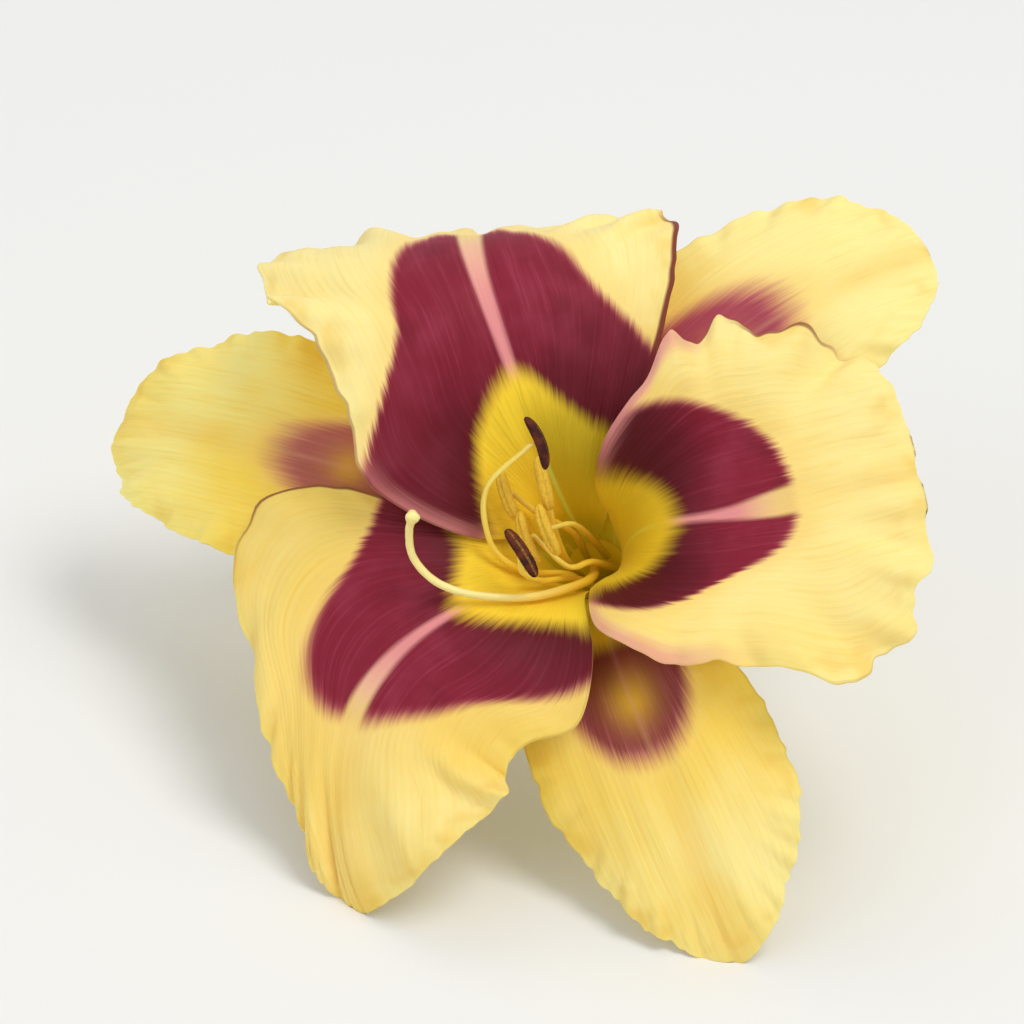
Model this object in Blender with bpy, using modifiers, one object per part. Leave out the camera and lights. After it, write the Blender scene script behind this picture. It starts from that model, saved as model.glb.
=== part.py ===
# A picked daylily bloom, with its tube and a short stalk, lying on a surface. Metres, +Z up.
# The flower is worked out in its own frame, in millimetres: the mouth of its tube is the origin and
# +Z runs out of its face. It is then laid down on two tepal tips and the cut end of its stalk.

import math

import bmesh
import bpy
import numpy as np
from mathutils import Matrix, Vector

MM = 0.001

# Driving dimensions, in millimetres
MOUTH_RADIUS = 4.0
ROOT_HALF_WIDTH = 1.85
TEPAL_THICKNESS = 0.75
SEAT_GAP = 0.3
JOIN_GAP = 0.2
SEPAL_STEP_OUT = 1.0
PETAL_STEP_IN = 0.2
STEP_LENGTH = 5.0
MIDRIB_DEPTH = 0.6
MIDRIB_WIDTH = 2.2
TUBE_LENGTH = 21.0
TUBE_WALL = 1.1
TUBE_FLOOR = 1.6
TUBE_BORE_RADIUS = 1.7
TUBE_SIDES = 24
STALK_LENGTH = 13.0
STALK_RADIUS = 1.9
STALK_TAPER = 0.08
FILAMENT_RADIUS = 0.5
FILAMENT_TAPER = 0.6
FILAMENT_ROOT_RADIUS = 2.45
FILAMENT_ROOT_DEPTH = 2.0
FILAMENT_STEPS = 15
ANTHER_LENGTH = 7.0
ANTHER_WIDTH = 1.7
ANTHER_FLATNESS = 0.8
ANTHER_BOW = 0.05
STYLE_RADIUS = 0.55
STIGMA_RADIUS = 0.85
OVARY_RADIUS = 1.35
OVARY_LENGTH = 7.0
FOOT_FLAT_DEPTH = 0.35
SURFACE_BLOCK_SIZE = 300.0

PETAL_ROWS, PETAL_COLUMNS = 26, 18
SEPAL_ROWS, SEPAL_COLUMNS = 22, 12
ROW_CROWDING = 1.35

# Where the midrib and the waved margin grow in, as shares of a tepal's length, where the waves and
# teeth calm down over the closing tip and by how much, and how near the margin each one keeps. A
# margin is lifted and swept back over the shares of the half width in LIFT_REACH.
MIDRIB_STARTS = (0.3, 0.55)
TEETH_START = (0.3, 0.55)
WAVES_START = (0.25, 0.6)
WAVES_REACH_IN = 0.45
LIFT_REACH = (0.3, 0.95)
CALM_TIP = (0.75, 1)
CALMING = 0.75
TEETH_REACH_IN = 6
TEETH_HALF_WIDTH = 20.0
LIMIT_SHARPNESS = 6

# Curves along a tepal are stops of (share of its length, value). Bend is its angle from the flower's
# axis, sway its turn to the side, twist its turn about its own spine, all in degrees, and roll the
# curvature across the blade, in 1/mm. Width is a share of the full half width. Turn is the way that
# the root and the blade face round the axis, room how far each side may reach round the throat, and
# sides what is left of the half width on each side. Lift is how far a margin stands up off the blade
# and back how far it is swept towards the root, in millimetres. The first of a pair is the clockwise
# side.
PETAL_WIDTH = [(0, 0), (0.06, 0.02), (0.11, 0.13), (0.18, 0.32), (0.3, 0.62), (0.4, 0.86), (0.52, 1), (1, 1)]
SEPAL_WIDTH = [(0, 0), (0.06, 0.02), (0.12, 0.12), (0.25, 0.45), (0.45, 0.85), (0.62, 1), (1, 1)]
PETAL_THROAT = [(0, 10), (0.12, 18), (0.24, 32), (0.34, 58), (0.44, 84)]
SEPAL_THROAT = [(0, 14), (0.1, 30), (0.2, 48), (0.3, 68), (0.4, 88)]
NO_TURN = [(0, 0), (1, 0)]
WHOLE = [(0, 1), (1, 1)]
LEVEL = [(0, 0), (1, 0)]

# Waves and teeth of the margin are (height, wavelength, phase), along the margin from the tip.
PETAL_TEETH = [(0.45, 6.6, 0.4), (0.35, 9.7, 1.9), (0.2, 4.1, 2.2)]
TOP_PETAL_TEETH = [(0.25, 7.5, 0.4), (0.2, 11.0, 1.9)]
RIGHT_PETAL_TEETH = [(0.75, 8.6, 4.2), (0.6, 7.3, 5.5), (0.15, 4.1, 2.2)]
FOOT_PETAL_TEETH = [(0.1, 7.5, 0.4), (0.1, 11.0, 1.9)]
SEPAL_TEETH = [(0.2, 9.0, 1.0)]

PETAL = {"width": PETAL_WIDTH, "flattens": (0.12, 0.5), "teeth": PETAL_TEETH, "step": -PETAL_STEP_IN,
         "rows": PETAL_ROWS, "columns": PETAL_COLUMNS, "sides": (WHOLE, WHOLE), "lift": (LEVEL, LEVEL),
         "back": (LEVEL, LEVEL), "twist": NO_TURN, "sway": NO_TURN}
SEPAL = {"width": SEPAL_WIDTH, "flattens": (0.3, 0.56), "teeth": SEPAL_TEETH, "step": SEPAL_STEP_OUT,
         "rows": SEPAL_ROWS, "columns": SEPAL_COLUMNS, "sides": (WHOLE, WHOLE), "lift": (LEVEL, LEVEL),
         "back": (LEVEL, LEVEL), "twist": NO_TURN, "sway": NO_TURN, "room": (58, 58)}

TEPALS = {
    "petal_top": PETAL | {
        "turn": (110, 106), "room": (51, 60), "length": 71, "half_width": 25, "shoulder": 0.5, "blunt": 2.8,
        "sides": ([(0, 1), (0.35, 1.12), (0.43, 1.22), (0.52, 1.14), (0.6, 1.02), (1, 1)],
                  [(0, 1), (0.36, 1.1), (0.5, 0.86), (0.58, 0.84), (0.67, 1), (1, 1)]),
        "lift": ([(0, 0), (0.1, -0.1), (0.2, -0.8), (0.3, -2.5), (0.55, -2.5), (0.7, 0), (1, 0)],
                 [(0, 0), (0.13, 0), (0.24, 3), (0.4, 3.2), (0.55, 0), (1, 0)]),
        "back": ([(0, 0), (0.38, 0), (0.5, -3.5), (0.65, -5), (0.85, 0), (1, 0)],
                 [(0, 0), (0.18, 0), (0.3, 4.5), (0.4, 4), (0.55, 0), (1, 0)]),
        "bend": [(0, 10), (0.12, 16), (0.24, 28), (0.34, 44), (0.46, 62), (0.57, 86), (0.68, 124),
                 (0.84, 156), (1, 164)],
        "sway": [(0, 0), (0.4, 0), (0.7, 6), (1, 6)],
        "twist": [(0, 0), (0.3, 0), (0.5, 12), (1, 14)],
        "roll": [(0, 0), (0.5, -0.004), (1, -0.006)],
        "waves": [(1.2, 13, 0.4), (0.6, 7.9, 1.4)], "teeth": TOP_PETAL_TEETH,
    },
    "petal_right": PETAL | {
        "turn": (-8, 3), "room": (62, 50), "length": 51.5, "half_width": 23, "shoulder": 0.52, "blunt": 3.2,
        "sides": ([(0, 1), (0.3, 1.0), (0.45, 0.9), (0.6, 0.86), (0.76, 1.05), (0.88, 0.98), (1, 0.94)],
                  [(0, 1), (0.3, 1.1), (0.42, 1.14), (0.6, 0.98), (1, 0.92)]),
        "lift": ([(0, 0), (0.16, 0), (0.28, 3), (0.38, 4.6), (0.52, 4), (0.7, 0), (1, 0)],
                 [(0, 0), (0.1, 0.1), (0.18, 0.8), (0.28, 3.6), (0.38, 6.5), (0.52, 7), (0.66, 4.5), (0.8, 1),
                  (1, 0)]),
        "back": ([(0, 0), (0.28, 0), (0.4, 5), (0.52, 5), (0.7, 1), (1, 0)],
                 [(0, 0), (0.25, 0), (0.38, 1), (0.5, 2), (0.7, 1), (1, 0)]),
        "bend": PETAL_THROAT + [(0.6, 88), (0.8, 92), (1, 104)],
        "sway": [(0, 0), (0.4, 0), (0.7, 10), (1, 10)],
        "roll": [(0, 0), (0.5, 0.004), (1, -0.01)],
        "waves": [(1.3, 14, 2.4), (0.6, 7.5, 0.4)], "teeth": RIGHT_PETAL_TEETH,
    },
    "petal_foot": PETAL | {
        "turn": (232, 224), "room": (55, 59), "length": 70, "half_width": 22, "shoulder": 0.46, "blunt": 2.1,
        "sides": ([(0, 1), (0.3, 1.02), (0.4, 1.13), (0.5, 1.44), (0.57, 1.2), (0.64, 0.7), (0.76, 0.44),
                   (1, 0.4)],
                  [(0, 1), (0.3, 1.16), (0.38, 1.14), (0.5, 0.92), (0.65, 0.95), (0.8, 1.2), (1, 1.3)]),
        "lift": (LEVEL, [(0, 0), (0.2, 0), (0.36, -1), (0.5, -1), (0.65, 0), (1, 0)]),
        "back": (LEVEL, [(0, 0), (0.25, 0), (0.4, 6), (0.5, 4), (0.65, 0), (1, 0)]),
        "bend": PETAL_THROAT + [(0.58, 94), (0.8, 112), (1, 128)],
        "sway": [(0, 0), (0.3, 0), (0.42, -9), (0.55, 6), (0.7, 32), (0.86, 52), (1, 60)],
        "roll": [(0, 0), (0.5, -0.01), (1, -0.012)],
        "waves": [(1.1, 16, 2.4), (0.4, 9.5, 0.4)], "teeth": FOOT_PETAL_TEETH,
    },
    "sepal_left": SEPAL | {
        "turn": (172, 162), "length": 75.5, "half_width": 15.5, "shoulder": 0.6, "blunt": 2.2,
        "sides": (WHOLE, [(0, 1), (0.5, 1), (0.7, 0.9), (1, 0.88)]),
        "bend": SEPAL_THROAT + [(0.58, 98), (0.8, 112), (1, 130)],
        "roll": [(0, 0), (0.5, -0.012), (1, -0.02)],
        "waves": [(0.7, 17, 0.5)],
    },
    "sepal_top": SEPAL | {
        "turn": (52, 50), "length": 63.5, "half_width": 16.5, "shoulder": 0.58, "blunt": 2.4,
        "sides": ([(0, 1), (0.5, 1), (0.7, 0.85), (1, 0.8)], WHOLE),
        "bend": SEPAL_THROAT + [(0.58, 94), (0.8, 104), (1, 116)],
        "sway": [(0, 0), (0.4, 0), (0.7, -18), (1, -24)],
        "roll": [(0, 0), (0.5, -0.012), (1, -0.02)],
        "waves": [(0.7, 19, 1.5)],
    },
    "sepal_foot": SEPAL | {
        "turn": (292, 292), "length": 63, "half_width": 16.5, "shoulder": 0.54, "blunt": 1.6,
        "sides": ([(0, 1), (0.5, 1), (0.7, 0.92), (1, 0.9)], [(0, 1), (0.6, 1), (0.8, 1.08), (1, 1.05)]),
        "bend": SEPAL_THROAT + [(0.58, 100), (0.8, 112), (1, 124)],
        "roll": [(0, 0), (0.5, -0.02), (1, -0.02)],
        "waves": [(0.7, 21, 0.5)],
    },
}

# Each filament starts inside the mouth at an angle round it, in degrees, and runs through a few
# points of the flower's frame to its tip. Anther is the way that its pollen sac's far end points.
STAMENS = [
    {"root": 238, "path": [(-2.1, -2.5, 6), (-5.4, -4.6, 15), (-8.4, -2.6, 20), (-8.0, 3.0, 25),
                           (-2.0, 7.6, 27.5)], "anther": (-0.3, 0.85, 0.4)},
    {"root": 190, "path": [(-2.0, -1.0, 8), (-2.0, 1.0, 14), (-1.8, 3.6, 19), (-1.8, 4.9, 21)],
     "anther": (-0.15, 0.85, 0.5)},
    {"root": 280, "path": [(-0.8, -3.6, 8), (-3.0, -6.0, 15), (-4.2, -6.4, 20), (-3.8, -5.2, 23.5)],
     "anther": (-0.5, 0.8, 0.3)},
    {"root": 130, "path": [(-1.2, 2.4, 8), (-4.4, 3.2, 15), (-6.2, 4.2, 19.5)], "anther": (-0.25, 0.85, 0.5)},
    {"root": 70, "path": [(0.6, 2.2, 8), (0.2, 1.6, 14), (-1.0, -0.6, 19.5)], "anther": (-0.3, 0.85, 0.5)},
    {"root": 10, "path": [(1.6, -1.6, 8), (-0.4, -3.6, 13), (-3.6, -1.0, 18)], "anther": (-0.3, 0.85, 0.4)},
]
STYLE_POINTS = [(0, 0, -10), (0, 0, 0), (1.2, -2.8, 6), (1.1, -5.9, 12.6), (-3.6, -9.2, 18.7),
                (-9.4, -10.0, 23), (-13.6, -9.0, 25.5), (-16.0, -6.6, 28), (-15.9, -4.2, 31),
                (-14.6, -2.6, 34)]
OVARY_PROFILE = [(0, 0.52), (0.12, 0.85), (0.5, 1), (0.85, 0.7), (1, 0.41)]

# The tube's outer radius at shares of its depth, and how far the stalk's cut end lies off the axis
TUBE_PROFILE = [(4.6, 0), (4.1, 0.2), (3.5, 0.5), (3.2, 0.75), (3.1, 0.92), (2.2, 1)]
STALK_SWEEP = (-7.5, 2.0)

# The surface is raised to touch these three, starting from a first guess at which way is up
FEET = ("petal_foot", "sepal_foot", "flower_stalk")
UP_GUESS = (0.0, 0.69, 0.72)

YELLOW = (0.93, 0.76, 0.24, 1)
PALE_YELLOW = (0.95, 0.82, 0.36, 1)
GOLD = (0.80, 0.55, 0.05, 1)
GREEN_YELLOW = (0.62, 0.66, 0.14, 1)
GREEN = (0.24, 0.40, 0.07, 1)
MAROON = (0.14, 0.03, 0.02, 1)


def ease(low, high, x):
    t = np.clip((x - low) / (high - low), 0, 1)
    return t * t * (3 - 2 * t)


def through(stops, x):
    """A smooth curve through stops of (position, value)."""
    places = np.array([stop[0] for stop in stops], float)
    values = np.array([stop[1] for stop in stops], float)
    slopes = np.gradient(values, places)
    x = np.clip(x, 0, 1)
    i = np.clip(np.searchsorted(places, x, side="right") - 1, 0, len(places) - 2)
    span = places[i + 1] - places[i]
    t = (x - places[i]) / span
    rise = values[i + 1] - values[i]
    return (values[i] + rise * t * t * (3 - 2 * t)
            + span * t * (1 - t) * (slopes[i] * (1 - t) - slopes[i + 1] * t))


def unit(vectors):
    return vectors / np.linalg.norm(vectors, axis=-1, keepdims=True)


def spine(tepal, s):
    """Centre line of a tepal that grows towards +X: its points, headings and front normals."""
    fine = np.linspace(0, 1, 401)
    bend = np.radians(through(tepal["bend"], fine))
    side = np.radians(through(tepal["sway"], fine))
    heading = np.stack([np.sin(bend) * np.cos(side), np.sin(side), np.cos(bend) * np.cos(side)], -1)
    steps = (heading[1:] + heading[:-1]) / 2 * tepal["length"] / (len(fine) - 1)
    path = np.vstack([np.zeros(3), np.cumsum(steps, 0)]) + [MOUTH_RADIUS, 0, 0]
    centre = np.stack([np.interp(s, fine, path[:, k]) for k in range(3)], -1)
    along = unit(np.stack([np.interp(s, fine, heading[:, k]) for k in range(3)], -1))
    bend_here = np.interp(s, fine, bend)
    front = np.stack([-np.cos(bend_here), 0 * bend_here, np.sin(bend_here)], -1)
    front = unit(front - (front * along).sum(-1, keepdims=True) * along)
    return centre, along, front


def half_width(tepal, s, v, reach, flat):
    """The half width before the tip closes, held to its room round the throat in there."""
    side = np.where(v < 0, *(through(stops, s) for stops in tepal["sides"]))
    room = np.radians(np.where(v < 0, *tepal["room"]))
    grown = ROOT_HALF_WIDTH + (tepal["half_width"] - ROOT_HALF_WIDTH) * through(tepal["width"], s)
    limit = np.maximum(reach, 1) * (room + (np.tan(room) - room) * flat)
    sharp = float(LIMIT_SHARPNESS)
    return ((grown * side) ** -sharp + limit ** -sharp) ** (-1 / sharp)


def margin_place(tepal, s, v):
    """How near the margin a point is, from 0 to 1, and the way along the margin from the tip."""
    blunt, shoulder, length = tepal["blunt"], tepal["shoulder"], tepal["length"]
    q = np.clip((s - shoulder) / (1 - shoulder), 0, 1)
    close = (1 - q ** blunt) ** (1 / blunt)
    nearness = (q ** blunt + (1 - q ** blunt) * np.abs(v) ** blunt) ** (1 / blunt)
    tip_run = 0.5 * math.pi * math.sqrt((((1 - shoulder) * length) ** 2 + tepal["half_width"] ** 2) / 2)
    turn = np.arctan2(np.abs(v) * close, np.maximum(q, 1e-6)) / (math.pi / 2)
    way = np.where(s > shoulder, turn * tip_run, tip_run + (shoulder - s) * length)
    return q, close, nearness, way * np.where(v < 0, -1, 1)


def ripple(terms, way):
    return sum(height * np.sin(2 * math.pi * way / wavelength + phase) for height, wavelength, phase in terms)


def tepal_points(tepal, s, v):
    """Middle surface of a tepal, in the flower's frame: s runs from root to tip, v from -1 to 1."""
    flat = ease(*tepal["flattens"], s)
    reach = spine(tepal, s)[0][..., 0]
    q, close, nearness, way = margin_place(tepal, s, v)
    calm = 1 - CALMING * ease(*CALM_TIP, q)
    teeth = nearness ** TEETH_REACH_IN * ripple(tepal["teeth"], way) * ease(*TEETH_START, s) * calm
    tooth = 1 + teeth / TEETH_HALF_WIDTH
    across = v * half_width(tepal, s, v, reach, flat) * close * tooth
    centre, along, front = spine(tepal, np.clip(s + (tooth - 1) * q * (1 - tepal["shoulder"]), 0, 1))

    # In the throat the section wraps round the flower's axis, and in the blade it has its own roll
    inward = unit((1 - flat)[..., None] * np.array([-1.0, 0, 0]) + flat[..., None] * front)
    inward = unit(inward - (inward * along).sum(-1, keepdims=True) * along * flat[..., None])
    sideways = np.cross(front, along)
    twist = np.radians(through(tepal["twist"], s))[..., None]
    sideways, inward = (sideways * np.cos(twist) + inward * np.sin(twist),
                        inward * np.cos(twist) - sideways * np.sin(twist))
    curvature = (1 - flat) / np.maximum(centre[..., 0], 1) + flat * through(tepal["roll"], s)
    curvature = np.where(np.abs(curvature) < 1e-5, 1e-5, curvature)
    angle = curvature * across
    points = (centre + sideways * (np.sin(angle) / curvature)[..., None]
              + inward * ((1 - np.cos(angle)) / curvature)[..., None])
    normal = inward * np.cos(angle)[..., None] - sideways * np.sin(angle)[..., None]

    wave = ripple(tepal["waves"], way) * calm * ease(WAVES_REACH_IN, 1, nearness) ** 1.3
    wave = wave * ease(*WAVES_START, s)
    groove = MIDRIB_DEPTH * np.exp(-(across / MIDRIB_WIDTH) ** 2) * ease(*MIDRIB_STARTS, s)
    layer = tepal["step"] * ease(0, STEP_LENGTH, s * tepal["length"])
    lift, back = (np.where(v < 0, *(through(stops, s) for stops in tepal[key])) for key in ("lift", "back"))
    raised = ease(*LIFT_REACH, np.abs(v))
    points = points + normal * (wave + lift * raised - groove - layer)[..., None]
    points = points - along * (back * raised)[..., None]
    root_turn, blade_turn = tepal["turn"]
    turn = np.radians(root_turn + (blade_turn - root_turn) * ease(0, 0.3, s))
    x = points[..., 0] * np.cos(turn) - points[..., 1] * np.sin(turn)
    y = points[..., 0] * np.sin(turn) + points[..., 1] * np.cos(turn)
    return np.stack([x, y, points[..., 2]], -1)


def make_material(name, colour, roughness):
    material = bpy.data.materials.new(name)
    material.use_nodes = True
    shader = material.node_tree.nodes["Principled BSDF"]
    shader.inputs["Base Color"].default_value = colour
    shader.inputs["Roughness"].default_value = roughness
    shader.inputs["Metallic"].default_value = 0.0
    return material


def add_object(name, data, material, collection, parent):
    piece = bpy.data.objects.new(name, data)
    data.materials.append(material)
    collection.objects.link(piece)
    piece.parent = parent
    return piece


def smooth(mesh, sharp_angle):
    mesh.shade_smooth()
    mesh.set_sharp_from_angle(angle=math.radians(sharp_angle))


def make_tepal(name, tepal, material, collection, parent):
    """An open sheet through the middle surface, split into triangles and then given its thickness."""
    rows, columns = tepal["rows"], tepal["columns"]
    s = 1 - (1 - np.linspace(0, 1, rows + 1)) ** ROW_CROWDING
    v = np.linspace(-1, 1, columns + 1)
    grid = tepal_points(tepal, *np.meshgrid(s, v, indexing="ij")) * MM
    sheet = bmesh.new()
    lines = [[sheet.verts.new(point) for point in row] for row in grid[:-1]]
    tip = sheet.verts.new(grid[-1, columns // 2])
    for near, far in zip(lines, lines[1:]):
        for j in range(columns):
            sheet.faces.new((near[j], far[j], far[j + 1], near[j + 1]))
    for j in range(columns):
        sheet.faces.new((lines[-1][j], tip, lines[-1][j + 1]))
    bmesh.ops.triangulate(sheet, faces=sheet.faces[:], quad_method="SHORT_EDGE")
    mesh = bpy.data.meshes.new(name)
    sheet.to_mesh(mesh)
    sheet.free()
    smooth(mesh, 50)
    piece = add_object(name, mesh, material, collection, parent)
    thickness = piece.modifiers.new("thickness", "SOLIDIFY")
    thickness.thickness = TEPAL_THICKNESS * MM
    thickness.offset = 0
    thickness.use_rim = True
    return piece


def make_tube(material, collection, parent):
    """The narrow tube under the throat: a turned cup, open at its mouth and closed over the stalk."""
    top = -SEAT_GAP - JOIN_GAP
    floor = TUBE_FLOOR - TUBE_LENGTH
    outer = [(radius, top - share * (TUBE_LENGTH + top)) for radius, share in TUBE_PROFILE]
    inner = [(max(radius - TUBE_WALL, TUBE_BORE_RADIUS), z) for radius, z in outer[:-2]]
    line = [(0, floor), (TUBE_BORE_RADIUS, floor)] + inner[::-1] + outer + [(0, -TUBE_LENGTH)]
    mesh = bpy.data.meshes.new("perianth_tube")
    verts = [(radius * MM, 0, z * MM) for radius, z in line]
    mesh.from_pydata(verts, [(i, i + 1) for i in range(len(verts) - 1)], [])
    piece = add_object("perianth_tube", mesh, material, collection, parent)
    turn = piece.modifiers.new("turn", "SCREW")
    turn.steps = turn.render_steps = TUBE_SIDES
    turn.use_merge_vertices = True
    turn.merge_threshold = 0.00001
    return piece


def smooth_path(points, count):
    """Evenly numbered points on a smooth curve through a few given points."""
    points = np.array(points, float)
    places = np.linspace(0, 1, len(points))
    stops = [list(zip(places, points[:, k])) for k in range(3)]
    s = np.linspace(0, 1, count)
    return np.stack([through(stop, s) for stop in stops], -1)


def make_strand(name, path, radii, material, collection, parent):
    """A round strand along a path, with its radius at each point."""
    curve = bpy.data.curves.new(name, "CURVE")
    curve.dimensions = "3D"
    curve.bevel_depth = MM
    curve.bevel_resolution = 2
    curve.use_fill_caps = True
    line = curve.splines.new("POLY")
    line.points.add(len(path) - 1)
    for point, place, radius in zip(line.points, path, radii):
        point.co = (*(Vector(place) * MM), 1)
        point.radius = radius
    line.use_smooth = True
    return add_object(name, curve, material, collection, parent)


def stamen_path(stamen):
    """A filament runs from inside the mouth up through the throat to its anther."""
    angle = math.radians(stamen["root"])
    radius = FILAMENT_ROOT_RADIUS
    root = (math.cos(angle) * radius, math.sin(angle) * radius, -FILAMENT_ROOT_DEPTH)
    return smooth_path([root, *stamen["path"]], FILAMENT_STEPS)


def make_anther(name, path, direction, material, collection, parent):
    """A long narrow pollen sac, seated across the filament's tip by its middle."""
    along = Vector(direction).normalized()
    heading = Vector(path[-1] - path[-2])
    outward = (heading - heading.dot(along) * along).normalized()
    gap = SEAT_GAP + ANTHER_WIDTH / 2 + FILAMENT_RADIUS * FILAMENT_TAPER
    bpy.ops.mesh.primitive_uv_sphere_add(segments=10, ring_count=8, radius=0.5)
    piece = bpy.context.object
    mesh = piece.data
    size = (ANTHER_WIDTH * MM, ANTHER_WIDTH * ANTHER_FLATNESS * MM, ANTHER_LENGTH * MM, 1)
    mesh.transform(Matrix.Diagonal(size))
    for vert in mesh.vertices:
        vert.co.x -= ANTHER_BOW / MM * vert.co.z ** 2
    mesh.shade_smooth()
    for collection_now in piece.users_collection:
        collection_now.objects.unlink(piece)
    collection.objects.link(piece)
    piece.name = mesh.name = name
    mesh.materials.append(material)
    piece.parent = parent
    facing = Matrix((outward, along.cross(outward), along)).transposed()
    piece.rotation_euler = facing.to_euler()
    piece.location = (Vector(path[-1]) + outward * gap) * MM
    return piece


def make_pistil(material, collection, parent):
    """The ovary at the bottom of the tube, with the long style that curves out over the anthers."""
    foot = -TUBE_LENGTH + TUBE_FLOOR + SEAT_GAP
    ovary = [(0, 0, foot + OVARY_LENGTH * share) for share, _ in OVARY_PROFILE]
    ovary_radii = [OVARY_RADIUS * size for _, size in OVARY_PROFILE]
    style = smooth_path(STYLE_POINTS, 22)
    style_radii = np.full(len(style), STYLE_RADIUS)
    style_radii[-2:] = STIGMA_RADIUS
    path = np.vstack([ovary, style])
    return make_strand("pistil", path, [*ovary_radii, *style_radii], material, collection, parent)


def make_stalk(material, collection, parent):
    """The stalk under the tube, gently bent, made a mesh so that its end can be cut."""
    top = -TUBE_LENGTH - SEAT_GAP - JOIN_GAP
    t = np.linspace(0, 1, 7)
    path = np.stack([STALK_SWEEP[0] * t ** 2, STALK_SWEEP[1] * t ** 2, top - STALK_LENGTH * t], -1)
    radii = STALK_RADIUS * (1 - STALK_TAPER * t)
    strand = make_strand("flower_stalk", path, radii, material, collection, parent)
    bpy.context.view_layer.update()
    seen = strand.evaluated_get(bpy.context.evaluated_depsgraph_get())
    mesh = bpy.data.meshes.new_from_object(seen)
    body = bmesh.new()
    body.from_mesh(mesh)
    bmesh.ops.remove_doubles(body, verts=body.verts[:], dist=0.00001)
    body.to_mesh(mesh)
    body.free()
    curve = strand.data
    bpy.data.objects.remove(strand)
    bpy.data.curves.remove(curve)
    mesh.materials.clear()
    smooth(mesh, 50)
    return add_object("flower_stalk", mesh, material, collection, parent)


def shaped_points(piece):
    """Vertices of a piece after its modifiers, in its parent's frame."""
    seen = piece.evaluated_get(bpy.context.evaluated_depsgraph_get())
    mesh = seen.to_mesh()
    points = np.array([piece.matrix_local @ vert.co for vert in mesh.vertices])
    seen.to_mesh_clear()
    return points


def find_surface(feet):
    """The plane under the bloom that all three feet touch: its upward normal and its height."""
    clouds = [shaped_points(foot) for foot in feet]
    up = unit(np.array(UP_GUESS))
    for _ in range(12):
        lowest = [cloud[np.argmin(cloud @ up)] for cloud in clouds]
        normal = unit(np.cross(lowest[1] - lowest[0], lowest[2] - lowest[0]))
        up = normal if normal @ up > 0 else -normal
    return up, min(float((cloud @ up).min()) for cloud in clouds)


def lay_down(pose, pieces, feet, cutters):
    """Flattens the three feet where they touch, and turns the bloom to lie on the surface."""
    bpy.context.view_layer.update()
    up, height = find_surface(feet)
    height += FOOT_FLAT_DEPTH * MM
    face = np.array([0, 0, 1.0])
    forward = unit(face - face @ up * up)
    turn = Matrix([np.cross(-forward, up), -forward, up]).to_4x4()

    size = SURFACE_BLOCK_SIZE * MM
    bpy.ops.mesh.primitive_cube_add(size=size)
    floor = bpy.context.object
    floor.name = "surface_below"
    for collection_now in floor.users_collection:
        collection_now.objects.unlink(floor)
    cutters.objects.link(floor)
    floor.parent = pose
    floor.matrix_local = turn.inverted() @ Matrix.Translation((0, 0, height - size / 2))
    floor.hide_render = True
    floor.display_type = "WIRE"
    for foot in feet:
        cut = foot.modifiers.new("flat foot", "BOOLEAN")
        cut.operation = "DIFFERENCE"
        cut.solver = "EXACT"
        cut.object = floor
    bpy.context.view_layer.update()

    turned = np.vstack([shaped_points(piece) for piece in pieces]) @ np.array(turn.to_3x3()).T
    middle = (turned.min(0) + turned.max(0)) / 2
    pose.matrix_world = Matrix.Translation((-middle[0], -middle[1], -height)) @ turn


def main():
    for thing in list(bpy.data.objects):
        bpy.data.objects.remove(thing)
    bloom = bpy.data.collections.new("daylily_flower")
    cutters = bpy.data.collections.new("cutters")
    for collection in (bloom, cutters):
        bpy.context.scene.collection.children.link(collection)
    pose = bpy.data.objects.new("bloom_pose", None)
    bloom.objects.link(pose)

    pieces = {}
    for name, tepal in TEPALS.items():
        colour = PALE_YELLOW if name.startswith("petal") else YELLOW
        material = make_material(name + "_flesh", colour, 0.55)
        pieces[name] = make_tepal(name, tepal, material, bloom, pose)
    pieces["perianth_tube"] = make_tube(make_material("tube_flesh", GREEN_YELLOW, 0.5), bloom, pose)
    pieces["flower_stalk"] = make_stalk(make_material("stalk_skin", GREEN, 0.5), bloom, pose)

    filament_skin = make_material("filament_skin", GOLD, 0.5)
    anther_skin = make_material("anther_skin", MAROON, 0.8)
    for number, stamen in enumerate(STAMENS, 1):
        path = stamen_path(stamen)
        radii = np.linspace(FILAMENT_RADIUS, FILAMENT_RADIUS * FILAMENT_TAPER, len(path))
        name = f"filament_{number}"
        pieces[name] = make_strand(name, path, radii, filament_skin, bloom, pose)
        name = f"anther_{number}"
        pieces[name] = make_anther(name, path, stamen["anther"], anther_skin, bloom, pose)

    pieces["pistil"] = make_pistil(make_material("pistil_skin", PALE_YELLOW, 0.5), bloom, pose)

    lay_down(pose, list(pieces.values()), [pieces[name] for name in FEET], cutters)


main()
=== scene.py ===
import math
from types import SimpleNamespace

import bpy
import numpy as np
from mathutils import Matrix, Vector


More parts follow.
